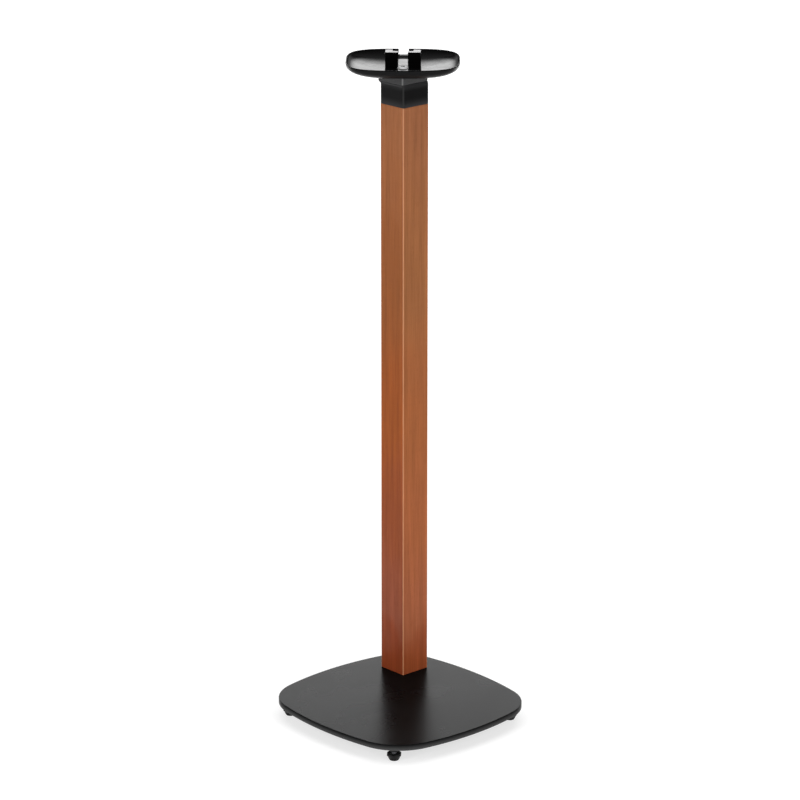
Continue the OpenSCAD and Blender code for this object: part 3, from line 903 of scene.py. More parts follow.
# %% [markdown]
# ## The post
# Four veneered boards meet in mitres along the corners. The post could be one box, but the
# grain of a real one stops at each arris, where two sheets of veneer meet. So each board is one
# outline carried up the post: a flat outer face with half of a small round at either edge, the
# two mitres, and the inner face. The ends are broken by a fine chamfer, which leaves the thin
# dark line where the wood meets the collar and the plate. The distance along the outline becomes
# the UV map, so the grain runs true on every board.

# %% One board
post_half = 20.5 * MM
post_wall = 8 * MM
arris = 0.8 * MM
end_chamfer = 0.45 * MM


def board_outline(steps=6):
    """Outline of one mitred board that faces +x, with its outward directions and the distance
    of every point from the middle of its outer face."""
    a = np.linspace(-math.pi / 4, 0, steps + 1)
    flat = post_half - arris
    edge = np.stack([flat + arris * np.cos(a), -flat + arris * np.sin(a)], 1)
    lean = np.stack([np.cos(a), np.sin(a)], 1)
    inner = post_half - post_wall
    points = np.concatenate([edge, edge[::-1] * [1, -1], [[inner, inner], [inner, -inner]]])
    outward = np.concatenate([lean, lean[::-1] * [1, -1], [[-0.4, 1], [-0.4, -1]]])
    step = np.linalg.norm(np.roll(points, -1, 0) - points, axis=1)
    across = np.concatenate([[0], np.cumsum(step)])
    face_middle = (across[0] + across[2 * steps + 1]) / 2
    return (points, outward), across - face_middle


def along_the_grain(mesh, rings, across):
    """A UV map in metres: u is the distance across the board and v is the height. Each face
    takes u from its own two columns, so the last one doesn't run back over the whole map."""
    start, end = across[:-1], across[1:]
    u = np.broadcast_to(np.stack([start, end, end, start], -1),
                        (len(rings) - 1, len(start), 4)).ravel()
    caps = np.repeat(start, 3)
    corner = np.zeros(len(mesh.loops), np.int32)
    mesh.loops.foreach_get("vertex_index", corner)
    place_of = np.zeros(3 * len(mesh.vertices), np.float32)
    mesh.vertices.foreach_get("co", place_of)
    uv = np.stack([np.concatenate([u, caps, caps]), place_of[2::3][corner]], 1)
    layer = mesh.uv_layers.new(name="along_the_grain")
    layer.data.foreach_set("uv", uv.astype(np.float32).ravel())
    return mesh


outline, across = board_outline()
print("a board's outline:", len(across) - 1, "points")

# %% [markdown]
# The four boards are the same shape, each turned a quarter further round the post. They could
# be copies of one object, each turned. But a finished piece keeps its object unturned, so that
# its pattern stays in place, and the turn goes into the points.

# %% Boards
low, high = bottom("post_board_front_right"), top("post_board_front_right")
board_levels = np.array([[end_chamfer, low], [0, low + end_chamfer],
                         [0, high - end_chamfer], [end_chamfer, high]])
for quarter, (name, finish) in enumerate(veneers.items()):
    board = f"post_board_{name}"
    rings = stacked(outline, board_levels, post_axis, math.pi / 4 + (quarter - 1) * math.pi / 2)
    place(along_the_grain(skin(board + "_skin", rings), rings, across),
          finish, "stand", "post_wood", board)
print("boards:", round((high - low) / MM), "mm long")

# %% [markdown]
# ## What holds the post
# A rod runs from a nut and washer under the plate up to the collar. It could be threaded from
# end to end, but only its lower end shows. So the thread is drawn there and at the top, and the
# plain shank between them is a single band of faces.

# %% Rod
rod_radius = 4 * MM
rod_pitch = 1.25 * MM
rod_dip = 0.65 * MM
rod_fade = 0.8 * MM
rod_low, rod_high = bottom("tie_rod"), top("tie_rod")
low_thread = threaded(rod_low, rod_low + 16 * MM, rod_radius, rod_pitch, rod_dip, rod_fade)
top_thread = threaded(rod_high - 30 * MM, rod_high, rod_radius, rod_pitch, rod_dip, rod_fade)
radius, height = (np.concatenate(pair) for pair in zip(low_thread, top_thread))
place(skin("tie_rod_skin", around(radius, height, post_axis, thread_columns)),
      plated_steel, "stand", "plated_steel", "tie_rod")
print("rod:", made["tie_rod_skin"], "faces")

# %% [markdown]
# The nut is a hexagon whose corners a cone turns off at both faces, as on the glides, and the
# washer is a flat ring with broken edges. Both could be cut open with a Boolean. But without
# ends a skin closes on itself, so its rings simply run on down the bore to where they began.

# %% Nut and washer
nut_flat = 13 * MM / 2
nut_turn = math.radians(45 + 30)
nut_cone_slope = 1.7


def nut_rings(centre, low, high, half_flat, hole, turn):
    """A hexagon held under a cone at both faces, and a bore through it. The cone's radius grows
    by its slope times the distance from the nearer face."""
    columns = 96
    rise = np.linspace(low, high, 13)
    reach = half_flat - 0.1 * MM + nut_cone_slope * np.minimum(rise - low, high - rise)
    six = hexagon(columns, half_flat, half_flat / FLAT_TO_CORNER, turn)
    body = [(np.minimum(six, limit), z) for limit, z in zip(reach, rise)]
    bore = [(hole + 0.4 * MM, high), (hole, high - 0.4 * MM),
            (hole, low + 0.4 * MM), (hole + 0.4 * MM, low)]
    return turned(body + bore, centre, columns)


nut = nut_rings(post_axis, bottom("rod_nut"), top("rod_nut"), nut_flat,
                rod_radius + close_fit, nut_turn)
place(skin("rod_nut_skin", nut, ends=False), plated_steel, "stand", "plated_steel", "rod_nut")
low, high = bottom("rod_washer"), top("rod_washer")
washer = turned([(4.3 * MM, low), (7.8 * MM, low), (8.0 * MM, low + 0.2 * MM),
                 (8.0 * MM, high - 0.2 * MM), (7.8 * MM, high), (4.3 * MM, high)], post_axis)
place(skin("rod_washer_skin", washer, ends=False),
      plated_steel, "stand", "plated_steel", "rod_washer")
print("nut:", round(2 * nut_flat / MM), "mm over the flats")

# %% [markdown]
# Two countersunk screws under the plate hold the steel spigot inside the foot of the post. From
# outside only their flat faces and sockets show, so two discs could do. But the whole screw is
# only eight rings, and then it is also right where the plate is looked into.

# %% Countersunk screws under the plate
spigot_reach = 7 * MM * math.sqrt(2)
screw_r = 2 * MM
screw_head = 1.9 * screw_r
screw_key = 2.5 * MM / 2
screw_length = 20 * MM


def screw_rings(centre, face, length):
    """A countersunk screw whose flat face looks down at this height: the hexagonal socket, the
    face, the cone and the shank. Listed from the socket's floor outwards and then up."""
    columns = 60
    socket = hexagon(columns, screw_key, screw_key * 1.15)
    cone = screw_head - screw_r
    rows = [(socket, face + 1.3 * MM), (socket, face + 0.15 * MM), (socket + 0.15 * MM, face),
            (screw_head - 0.1 * MM, face), (screw_head, face + 0.1 * MM),
            (screw_r, face + cone), (screw_r, face + length - 1 * MM),
            (0.6 * screw_r, face + length)]
    return turned(rows, centre, columns)


for side, name in ((1, "back"), (-1, "front")):
    centre = post_axis + [0, side * spigot_reach]
    rings = screw_rings(centre, bottom("spigot_screws"), screw_length)
    place(skin(f"spigot_screw_{name}_skin", rings),
          plain_steel, "stand", "inner_steel", "spigot_screws")
print("screws at", round(spigot_reach / MM, 1), "mm from the post's axis")

# %% [markdown]
# ## Collar and block
# The collar continues the post in black steel, and the block sits on it, wider than the collar
# and bolted two millimetres off its axis. Both are rounded squares. They could be two bevelled
# cubes, but then the block would overhang with a hard step. Over its last three millimetres the
# real collar leads over to the block: each point of a ring there lies part of the way from the
# collar's outline to the block's. So the left corner leans out and the right one in.

# %% Collar rings
collar_half = 21 * MM
collar_corner = 2.6 * MM
shoulder_height = 3 * MM
block_half = 43 * MM / 2
block_corner = 2 * MM
collar_low, collar_high = top("post_board_front_right"), top("collar")


def square_outline(half, radius):
    """A square with round corners, on its own middle."""
    return rounded_outline([[half, -half], [half, half], [-half, half], [-half, -half]],
                           [radius] * 4, 10)


def on_the_post(levels):
    """Rings of the collar's outline at these insets and heights."""
    return stacked(square_outline(collar_half, collar_corner), np.array(levels),
                   post_axis, math.pi / 4)


def on_the_head(levels):
    """Rings of the block's outline at these insets and heights."""
    return stacked(square_outline(block_half, block_corner), np.array(levels),
                   head_axis, math.pi / 4 + head_turn)


def collar_rings():
    """The straight neck, the shoulder, and a broken top edge. A point of the shoulder is the
    collar's point plus a share of the way to the same point of the block's outline."""
    shoulder = collar_high - shoulder_height
    neck = on_the_post(eased(collar_low, shoulder, 0.4 * MM)[:edge_levels])
    foot, head = on_the_post([[0, shoulder]]), on_the_head([[0, collar_high]])
    share = np.array([0, 0.1, 0.25, 0.6, 0.9])[:, None, None]
    broken = on_the_head([[0.7 * MM, collar_high]])
    return np.concatenate([neck, foot + share * (head - foot), broken])


print("collar", round((collar_high - collar_low) / MM, 1), "mm high")

# %% [markdown]
# On both pieces the coat is painted lighter along the four upright corners: a painted highlight,
# where the rounds would catch a lamp. The Pointiness input could find them, but its result
# depends on how fine the mesh is. Here the corners are known: they are the middle columns of the
# four arcs.

# %% Collar and block skins
def with_corner_highlights(mesh, rings):
    """Marks the mesh for painted light, a painted highlight: 1 on the middle column of each of its
    four round corners, falling to 0 a little before their ends."""
    columns = rings.shape[1]
    steps = columns // 4
    off_middle = np.abs(np.arange(columns) % steps - steps // 2)
    column = np.clip(1 - off_middle / (0.45 * steps), 0, 1)
    return mark(mesh, "painted_light", np.broadcast_to(column, rings.shape[:2]), 0, 0)


rings = collar_rings()
place(with_corner_highlights(skin("collar_skin", rings), rings),
      collar_coating, "stand", "head_coating", "collar")
rings = on_the_head(eased(bottom("tray_block"), top("tray_block"), 0.8 * MM))
place(with_corner_highlights(skin("tray_block_skin", rings), rings),
      block_coating, "stand", "head_coating", "tray_block")
print("block:", round(2 * block_half / MM), "mm square")

# %% [markdown]
# ## The tray
# The dish is a squarish oval, a superellipse: every ring is the curve |x/w|^n + |y/d|^n = 1 with
# n = 3.4. It could be a subdivided box with a notch cut by a Boolean, but the cut would leave
# ragged shading on the gloss. So it is one surface. The half width w and half depth d grow from
# the flat underside to the rim along a quarter ellipse. The same rings serve for the outside,
# over the round lip, and down the inside, which is a soft bowl: its height grows slowly at first
# and steeply at the rim.

# %% Tray sizes
tray_wide = 138.5 * MM / 2
tray_deep = 130 * MM / 2
tray_height = top("tray") - bottom("tray")
flat_half = 60 * MM / 2
lip_r = 1 * MM
floor_thickness = tray_floor - bottom("tray")
squareness = 3.4
bowl_power = 2.5
ramp_start = 11 * MM
print("tray", round(tray_height / MM, 1), "mm high,",
      "its floor", round(floor_thickness / MM, 1), "mm thick")

# %% [markdown]
# The profile is three arrays, with one entry for each ring: how far out the ring lies, how much
# the wall's thickness adds to it, and its height. The inside could be the outside moved in by
# the wall, but then the floor would be as thin as the rim. So it has a curve of its own.

# %% Tray profile
def half_size(share, extra, rim):
    """Half width or depth of a ring, from the flat middle's at share 0 to the rim's at 1. Below
    0 the ring lies in the flat, and shrinks with it."""
    wall = (rim - lip_r - flat_half) * np.maximum(0, share)
    return flat_half * np.minimum(1, 1 + share) + wall + extra


def tray_profile():
    """Share of the way out to the rim, extra width and height of every ring: over the flat
    underside, out and up the wall as the sine and cosine of a quarter turn, over the lip in a
    half circle, and down the inside. At t of the way from the middle to the rim, the bowl has
    risen by 1 - sqrt(1 - t^p) of its depth, with p = 2.5."""
    a = np.linspace(0, math.pi / 2, 26)
    lip = np.linspace(0, math.pi, 11)[1:-1]
    lip_height = tray_height - lip_r
    under = np.array([0.18, ramp_start / flat_half, 0.45, 0.54, 0.66, 0.78, 0.9])
    outwards = np.concatenate([under - 1, np.sin(a)])
    thicker = np.concatenate([under * 0, lip_r * np.sin(a)])
    t = half_size(outwards, -thicker, tray_deep) / (tray_deep - 2 * lip_r)
    risen = 1 - np.sqrt(np.maximum(0, 1 - t ** bowl_power))
    bowl = floor_thickness + (lip_height - floor_thickness) * risen
    wall = lip_height * (1 - np.cos(a))
    share = np.concatenate([outwards, lip * 0 + 1, outwards[::-1]])
    extra = np.concatenate([thicker, lip_r * np.cos(lip), -thicker[::-1]])
    high = np.concatenate([under * 0, wall, lip_height + lip_r * np.sin(lip), bowl[::-1]])
    return share, extra, high


print("the tray's profile:", len(tray_profile()[0]), "rings")

# %% [markdown]
# The back of the rim has a notch for the cable. It could be cut out with a Boolean, but the new
# edges would need rounds of their own. Here the notch is part of the same surface. Columns of
# equal x run through the back, so that its sides are upright, and every ring that would rise
# above its floor is laid across it instead.

# %% Notch
notch_half = 12.2 * MM / 2
notch_floor = tray_height - 6.2 * MM
notch_round = 1.5 * MM


def back_columns():
    """The x of each column through the back of the tray, right to left: close together over
    the notch's corners, with two columns a hair apart at its upright sides."""
    hair = 0.002 * MM
    corner = notch_half - notch_round * (1 - np.sin(np.linspace(0, math.pi / 2, 7)))
    right = np.concatenate([[9 * MM, 7.2 * MM, notch_half + hair],
                            corner[::-1] - hair, [3.2 * MM, 1.6 * MM, 0]])
    return np.concatenate([right, -right[-2::-1]])


def notch_height(x):
    """Height of the notch's floor at x, with its two lower corners rounded, or a height over
    the rim outside the notch."""
    into = np.clip(np.abs(x) - (notch_half - notch_round), 0, notch_round)
    floor_line = notch_floor + notch_round - np.sqrt(notch_round ** 2 - into ** 2)
    return np.where(np.abs(x) < notch_half, floor_line, tray_height + MM)


def cut_to_notch(high, x_back, y, z):
    """Lays the rings above the notch's floor across it, from the outer wall to the inner one."""
    peak = np.argmax(high)
    for column in np.flatnonzero(notch_height(x_back) < tray_height):
        line = notch_height(x_back[column])
        outer = np.interp(line, high[:peak], y[:peak, column])
        inner = np.interp(line, high[:peak:-1], y[:peak:-1, column])
        above = np.flatnonzero(high > line)
        y[above, column] = np.linspace(outer, inner, len(above))
        z[above, column] = line


print("notch:", round(2 * notch_half / MM, 1), "mm wide,", len(back_columns()), "columns")

# %% [markdown]
# A low ramp leads the cable up to the notch. It could be a wedge set into the dish, but it would
# need its own finish and a join with the bowl. The same columns can be lifted to its line
# instead, wherever the bowl lies below it.

# %% Ramp
ramp_root = 0.2 * MM
ramp_rise = 3 * MM
ramp_end = 53.9 * MM


def lift_to_ramp(high, x_back, y, z):
    """Raises the inside within the notch's width to the ramp: a straight line that climbs from
    just inside the floor to the back wall."""
    inside = np.arange(len(high)) > np.argmax(high)
    share = (y - ramp_start) / (ramp_end - ramp_start)
    line = floor_thickness - ramp_root + (ramp_rise + ramp_root) * share
    lifted = inside[:, None] & (np.abs(x_back) < notch_half)[None]
    z[lifted] = np.maximum(z, line)[lifted]


print("ramp:", round((ramp_end - ramp_start) / MM, 1), "mm long,", round(ramp_rise / MM), "mm high")

# %% [markdown]
# All the rings together make one grid: the back columns first, then columns at even angles
# round the ends and the front. They could all stand at even angles, but then none would run
# along the notch's sides. With the back columns first, the notch and the ramp can be worked out
# before the rest is joined on.

# %% Tray rings
def tray_rings(columns=176):
    """The tray's rings about its own middle, all on superellipses. Through the back a point's y
    is d (1 - |x/w|^n)^(1/n), and elsewhere its radius at the angle a is
    (|cos a / w|^n + |sin a / d|^n)^(-1/n)."""
    share, extra, high = tray_profile()
    wide = half_size(share, extra, tray_wide)[:, None]
    deep = half_size(share, extra, tray_deep)[:, None]
    x_back = back_columns()
    x = x_back[None] * np.minimum(1, wide / ramp_start)
    y = deep * (1 - np.abs(x / wide) ** squareness) ** (1 / squareness)
    left, right = np.arctan2(y[:, -1], x[:, -1]), np.arctan2(y[:, 0], x[:, 0])
    along = np.linspace(0, 1, columns + 2)[1:-1]
    angle = left[:, None] + (right + TURN - left)[:, None] * along[None]
    c, s = np.cos(angle), np.sin(angle)
    r = (np.abs(c / wide) ** squareness + np.abs(s / deep) ** squareness) ** (-1 / squareness)
    z = np.broadcast_to(high[:, None], x.shape).copy()
    cut_to_notch(high, x_back, y, z)
    lift_to_ramp(high, x_back, y, z)
    x, y = np.concatenate([x, r * c], 1), np.concatenate([y, r * s], 1)
    z = np.concatenate([z, np.broadcast_to(high[:, None], r.shape)], 1)
    return np.stack([x, y, z], -1)


rings = tray_rings()
print("tray grid:", rings.shape[0], "rings of", rings.shape[1], "points")

# %% [markdown]
# The dish is glossy inside, satin outside and bare on the ramp. It could be split into three
# pieces with a finish each, but the lacquer runs over the lip without a seam, so one finish
# reads two marks. The skin is then turned with the head and set on the block.

# %% Tray skin
lip_rings = 4
on_the_bowl = 0.05 * MM
under_the_notch = 0.1 * MM


def rings_outside(rings):
    """1 for the points of the outside up to the start of the lip, and 0 for the others."""
    outside = np.arange(len(rings)) < np.argmax(rings[:, -1, 2]) - lip_rings
    return np.broadcast_to(outside[:, None], rings.shape[:2])


def rings_on_ramp(rings):
    """1 for the points that the ramp has lifted off the bowl, and 0 for the others."""
    x, y, z = np.moveaxis(rings, -1, 0)
    bowl = rings[:, -1, 2]
    inside = (np.arange(len(rings)) > np.argmax(bowl))[:, None]
    lifted = (z > bowl[:, None] + on_the_bowl) & (z < notch_floor - under_the_notch)
    return inside & lifted & (np.abs(x) < notch_half) & (y > 0)


c, s = math.cos(head_turn), math.sin(head_turn)
tray_points = np.stack([head_axis[0] + c * rings[..., 0] - s * rings[..., 1],
                        head_axis[1] + s * rings[..., 0] + c * rings[..., 1],
                        bottom("tray") + rings[..., 2]], -1)
dish = skin("tray_skin", tray_points)
mark(dish, "outside", rings_outside(rings), 1, 0)
mark(dish, "bare", rings_on_ramp(rings), 0, 0)
place(dish, dish_lacquer, "stand", "tray_coating", "tray")
print("tray:", made["tray_skin"], "faces")

# %% [markdown]
# ## The bolt
# One domed bolt with a six-sided socket holds the tray. A squashed sphere could be its head,
# but the real dome is part of a larger sphere, so its height at a radius r is the square root
# of R R - r r. The edge under the dome and the socket are painted dark as painted shade, where
# the light doesn't reach.

# %% Bolt skin
bolt_head_r = 7 * MM
bolt_head_h = 2.6 * MM
bolt_sphere_r = 0.9 * 2 * bolt_head_r
bolt_key = 2.5 * MM
bolt_shank = 4 * MM
key_round = 0.25 * MM


def dome(r):
    """Height of the dome over the tray's floor: h - R + sqrt(R R - r r) at the radius r, where h
    is the head's height and R the sphere's radius."""
    return bolt_head_h - bolt_sphere_r + np.sqrt(bolt_sphere_r ** 2 - r ** 2)


def bolt_rings():
    """Shank, the underside of the head, its rounded edge, the dome and the hexagonal socket."""
    columns = 96
    low = bottom("tray_bolt") - tray_floor
    socket = hexagon(columns, bolt_key, bolt_key / FLAT_TO_CORNER)
    rows = [(0.7 * bolt_shank, low), (bolt_shank, low + 1.2 * MM), (bolt_shank, 0),
            (bolt_head_r - 0.1 * MM, 0), (bolt_head_r, 0.1 * MM),
            (bolt_head_r, dome(bolt_head_r) - 0.12 * MM)]
    rows += [(r, dome(r)) for r in np.linspace(bolt_head_r - 0.1 * MM, bolt_key + 1.0 * MM, 10)]
    rows += [(socket + key_round, dome(socket + key_round)), (socket, dome(socket) - 0.3 * MM),
             (socket, bolt_head_h / 3)]
    return turned([(r, z + tray_floor) for r, z in rows], head_axis, columns)


rings = bolt_rings()
# painted shade under the head and in the socket
painted_shade = np.zeros(rings.shape[:2])
painted_shade[:6] = 0.8
painted_shade[-2:] = 1
place(mark(skin("tray_bolt_skin", rings), "painted_shade", painted_shade, 0, 1),
      bright_steel, "stand", "black_bolt", "tray_bolt")
print("bolt head:", round(2 * bolt_head_r / MM), "mm wide")

# %% [markdown]
# ## The prongs
# Behind the bolt stand two prongs, L-shaped in plan, with wide rounds at their outer corners and
# a step at the inner back corner. Low down they are hollowed round the bolt's head. The hollow
# could be a cylinder cut away, but it is easier to push: any point of the outline that comes too
# near the bolt's axis moves straight out to the clearance circle.

# %% Prong rings
prong_gap = 11.7 * MM
prong_width = 15.7 * MM
prong_front = -1.5 * MM
prong_back = 16.5 * MM
step_width = 6.6 * MM
step_depth = 8.5 * MM
bolt_room = bolt_head_r + 0.6 * MM
bolt_room_high = bolt_head_h + 0.6 * MM
crisp_corner = 0.45 * MM
wide_corner = 3 * MM


def prong_rings(side):
    """The L-shaped outline of one prong at each height, on the turned head. Below the ledge a
    point p moves out to p max(1, R/|p|), with R the clearance. A side of -1 is the left prong:
    its corners are mirrored and listed backwards, to stay anticlockwise."""
    inner, outer = prong_gap / 2, prong_gap / 2 + prong_width
    step_x, step_y = inner + step_width, prong_back - step_depth
    corners = np.array([[inner, prong_front], [outer, prong_front], [outer, prong_back],
                        [step_x, prong_back], [step_x, step_y], [inner, step_y]])
    radii = [crisp_corner, wide_corner, wide_corner, crisp_corner, crisp_corner, crisp_corner]
    if side < 0:
        corners, radii = (corners * [-1, 1])[::-1], radii[::-1]
    points, outward = rounded_outline(corners, radii, 6, spacing=0.6 * MM)
    reach = np.linalg.norm(points, axis=1)[:, None]
    hollowed = points * np.maximum(1, bolt_room / reach)
    low, high = bottom("prong_right"), top("prong_right")
    levels = eased(low, high, 0.5 * MM)
    ledge = np.array([[0, low + bolt_room_high], [0, low + bolt_room_high + 0.01 * MM]])
    below = np.concatenate([levels[:edge_levels], ledge[:1]])
    above = np.concatenate([ledge[1:], levels[edge_levels:]])
    return np.concatenate([stacked((hollowed, outward), below, head_axis, head_turn),
                           stacked((points, outward), above, head_axis, head_turn)])


print("prongs:", round(prong_width / MM, 1), "mm wide,", round(prong_gap / MM, 1), "mm apart")

# %% [markdown]
# The left prong mirrors the right one. A Mirror modifier could make it, but then both would be
# one object, and each is a piece of its own in the frame. The last ring and the point that
# closes it are marked as bare: that is the milled top.

# %% Prong skins
for side, name in ((-1, "prong_left"), (1, "prong_right")):
    rings = prong_rings(side)
    milled_top = np.zeros(rings.shape[:2])
    milled_top[-1] = 1
    place(mark(skin(name + "_skin", rings), "bare", milled_top, 0, 1),
          prong_coating, "stand", "prong_plastic", name)
print("prongs:", made["prong_left_skin"], "faces each")

# %% [markdown]
# ## Inside pieces
# The spigot, the pins and the prongs' screws are closed in by what they hold. They could get
# skins too, but their solids are already the right shape and nothing of them shows. So they
# stay as built and only get a steel finish.

# %% Finish of the pieces that stay as built
as_built = ("post_spigot", "tray_pins", "prong_screws")
for name in as_built:
    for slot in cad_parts[name].material_slots:
        slot.material = plain_steel
print("kept as built:", *as_built)

# %% [markdown]
# ## Floor, light and camera
# The stand is photographed on a white sweep. The floor could be a bright white surface under
# more light, but then the stand would be lit too strongly. So it is a diffuse surface that also
# glows where it is seen or mirrored: it reads white and still takes the soft shadow. First come
# the small helpers for such surfaces, which a Principled shader can't be alone.

# %% Surfaces of the studio
def seen_or_mirrored(tree):
    """1 for rays from the camera, from a mirror or through glass, and 0 for light on its way."""
    path = node(tree, "ShaderNodeLightPath").outputs
    seen = worked_out(tree, "MAXIMUM", path["Is Camera Ray"], path["Is Glossy Ray"])
    return worked_out(tree, "MAXIMUM", seen, path["Is Transmission Ray"])


def emission(tree, level):
    """White light of this strength."""
    return node(tree, "ShaderNodeEmission", {"Strength": level}).outputs[0]


def paper(tree, level):
    """A plain diffuse surface of this grey."""
    return node(tree, "ShaderNodeBsdfDiffuse", {"Color": (*grey(level), 1)}).outputs[0]


def stage_finish(name, level):
    """A material of this grey without the Principled shader, its tree, and the socket for the
    surface."""
    finish, tree, shader = new_finish(name, grey(level), 1.0)
    tree.nodes.remove(shader)
    return finish, tree, tree.nodes["Material Output"].inputs["Surface"]


print("helpers made:", *(f.__name__ for f in (seen_or_mirrored, emission, paper, stage_finish)))

# %% [markdown]
# The sweep could curve up behind the stand as the real one does, but it is plain white there,
# and so is the world. A flat square is enough. Its glow is a little weaker close to the stand,
# so that the shadow there stays soft and visible.

# %% Floor
floor_half = 6.0
glow_reach = (0.5, 1.6)
glow_level = (0.675, 1.1)
seen_grey = 0.38
lighting_grey = 0.8
floor_mesh = bpy.data.meshes.new("floor")
floor_mesh.from_pydata([(-floor_half, -floor_half, 0), (floor_half, -floor_half, 0),
                        (floor_half, floor_half, 0), (-floor_half, floor_half, 0)],
                       [], [(0, 1, 2, 3)])
in_scene("floor", floor_mesh)

sweep, tree, surface = stage_finish("white sweep", lighting_grey)
away = node(tree, "ShaderNodeVectorMath", {0: object_place(tree)},
            operation="LENGTH").outputs["Value"]
glow = emission(tree, ramp(tree, away, glow_reach, glow_level))
looked_at = node(tree, "ShaderNodeAddShader", {0: glow, 1: paper(tree, seen_grey)}).outputs[0]
choice = node(tree, "ShaderNodeMixShader",
              {0: seen_or_mirrored(tree), 1: paper(tree, lighting_grey), 2: looked_at})
tree.links.new(choice.outputs[0], surface)
floor_mesh.materials.append(sweep)
print("floor", 2 * floor_half, "m across")

# %% [markdown]
# Black gloss shows its form only by what it mirrors, and this stand looks as if a lit wall were
# behind it. Lamps could stand there and be mirrored, but a few lamps give hard patches.
# Here it is a round screen of light, wide round the stand and open at the top: bright low down,
# which the plate mirrors, with a second band for the dish, and fading to dark above it. It is
# brightest behind the stand and dim towards the camera. Mirrors alone see the screen, so it
# stands in nobody's way and lights nothing else.

# %% Screen of light
screen_radius = 1.6
screen_height = 1.7
screen_columns = 96
screen_points = around([screen_radius] * 2, [0, screen_height], post_axis, screen_columns)
column = np.arange(screen_columns)
following = (column + 1) % screen_columns
facing_in = np.stack([following, column, column + screen_columns, following + screen_columns], 1)
screen_mesh = bpy.data.meshes.new("screen of light")
screen_mesh.from_pydata(screen_points.reshape(-1, 3).tolist(), [], facing_in.tolist())
screen = in_scene("screen of light", screen_mesh)
screen.visible_camera = screen.visible_diffuse = screen.visible_shadow = False
screen.visible_transmission = screen.visible_volume_scatter = False
print("screen of light:", screen_radius, "m in radius")

# %% [markdown]
# The screen's light could be a picture with bands, but each band is only a level that changes
# between two heights, and as numbers it can be moved with a keystroke. In each line below the
# first pair is where a change begins and ends, in metres, and the second pair is the level
# there. The levels are multiplied, or added where they are separate lights.

# %% Light on the screen
plate_band = (0.75, 0.87), (7.8, 0.25)
plate_climb = (0.50, 0.72), (0.84, 1.06)
dish_band = (0.98, 1.09), (0.0, 3.3)
dish_middle = -0.08
dish_sides = (0.07, 0.19), (1.0, 0.05)
fade_above = (1.14, 1.61), (1.0, 0.06)
front_to_back = (0.25, 1.25), (0.10, 1.0)

lit_wall, tree, surface = stage_finish("lit wall", 1.0)
place_on = split(tree, object_place(tree))
height = place_on["Z"]
low_light = times(tree, ramp(tree, height, *plate_band), ramp(tree, height, *plate_climb))
off_middle = worked_out(tree, "ABSOLUTE", plus(tree, place_on["X"], -dish_middle))
dish_light = times(tree, ramp(tree, height, *dish_band), ramp(tree, off_middle, *dish_sides))
fade = ramp(tree, height, *fade_above, interpolation_type="SMOOTHSTEP")
level = times(tree, plus(tree, low_light, dish_light), fade)
level = times(tree, level, ramp(tree, place_on["Y"], *front_to_back))
tree.links.new(emission(tree, level), surface)
screen_mesh.materials.append(lit_wall)
print("levels of light:", plate_band[1][0], "for the plate and", dish_band[1][1], "for the dish")

# %% [markdown]
# The world gives the soft light from all round, a little more from behind than from the front,
# as a lit studio does. It could be one plain level, but light that is the same all round
# flattens a shape. The camera sees the world as plain white, and mirrors see it as a dim ceiling
# over the screen.

# %% World
soft_light = (-0.2, 0.8), (0.16, 0.70)
ceiling_light = 0.22
world = bpy.data.worlds.new("studio")
world.use_nodes = True
tree = world.node_tree


def chosen(tree, ray, otherwise, level):
    """The level for rays of one kind, and another one for the rest. In a mix of numbers,
    inputs 2 and 3 are the numbers."""
    kind = node(tree, "ShaderNodeLightPath").outputs[ray]
    return node(tree, "ShaderNodeMix", {0: kind, 2: otherwise, 3: level},
                data_type="FLOAT").outputs[0]


direction = split(tree, node(tree, "ShaderNodeTexCoord").outputs["Generated"])
level = ramp(tree, direction["Y"], *soft_light)
level = chosen(tree, "Is Glossy Ray", level, ceiling_light)
level = chosen(tree, "Is Camera Ray", level, 1.0)
background = tree.nodes["Background"]
background.inputs["Color"].default_value = (1, 1, 1, 1)
feed(tree, background, {"Strength": level})
bpy.context.scene.world = world
print("world: plain white to the camera,", ceiling_light, "to mirrors")

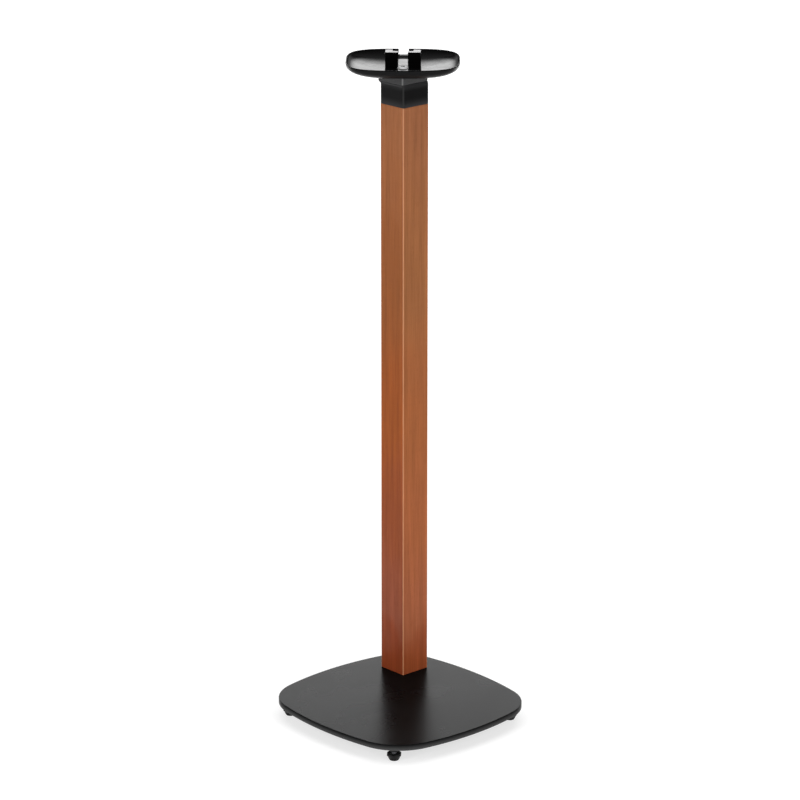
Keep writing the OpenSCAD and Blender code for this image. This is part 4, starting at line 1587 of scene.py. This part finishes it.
# %% [markdown]
# Three softboxes shape the stand: one at each side in front for the two faces of the post, the
# left one a little stronger, and a wide one above for the soft shadow. A sun lamp could light it
# too, but its shadow has a sharp edge. Mirrors don't see the softboxes, because on black metal
# they would show as bright patches.

# %% Lamps
def softbox(name, where, target, width, height, power):
    """A soft area lamp at a place, turned to its target: the heading and the tilt are the
    angles of the line from the target to the lamp."""
    light = bpy.data.lights.new(name, "AREA")
    light.shape = "RECTANGLE"
    light.size, light.size_y, light.energy = width, height, power
    lamp = in_scene(name, light)
    lamp.location = where
    away = np.array(where, float) - np.array(target, float)
    heading = math.atan2(away[0], -away[1])
    tilt = math.atan2(math.hypot(away[0], away[1]), away[2])
    lamp.rotation_euler = (tilt, 0, heading)
    lamp.visible_glossy = False


aim = (0.0, float(post_axis[1]), 0.45)
softbox("softbox left", (-2.2, -2.4, 1.5), aim, 1.2, 2.4, 64)
softbox("softbox right", (2.3, -2.2, 1.5), aim, 1.2, 2.4, 57)
softbox("softbox above", (0.0, 0.3, 3.0), aim, 3.2, 3.2, 60)
print("lamps:", len(bpy.data.lights))

# %% [markdown]
# The camera stands four and a quarter metres in front of the post at 1.7 m, with a long lens,
# and looks down 17 degrees. It is a little to the right and turned 3 degrees to its left. It
# could be set by eye, but its place was worked out from the post's edges and the outlines of
# the plate and the tray, so that the picture can be laid over the photograph.

# %% Camera
lens_length = 162.46
camera_offset = (0.2150, -4.2501, 1.69824)
camera_pitch = math.radians(17.24)
camera_heading = math.radians(2.969)
view = bpy.data.cameras.new("camera")
view.lens = lens_length
view.sensor_width = 36
view.clip_end = 50
camera = in_scene("camera", view)
camera.location = (post_axis[0] + camera_offset[0], post_axis[1] + camera_offset[1],
                   camera_offset[2])
camera.rotation_euler = (math.pi / 2 - camera_pitch, 0, camera_heading)
bpy.context.scene.camera = camera
bpy.context.scene.view_settings.view_transform = "Standard"
print("camera at", [round(v, 3) for v in camera.location])

# %% [markdown]
# ## Close
# The dressed stand must be as large as the one that was built, and its sizes were read from
# the frame's boxes above. Each skin has already hidden the piece that it replaces and rides on
# its body, so what is left is to count the pieces and their faces.

# %% Close
print("pieces:", len(made), "faces:", sum(made.values()))
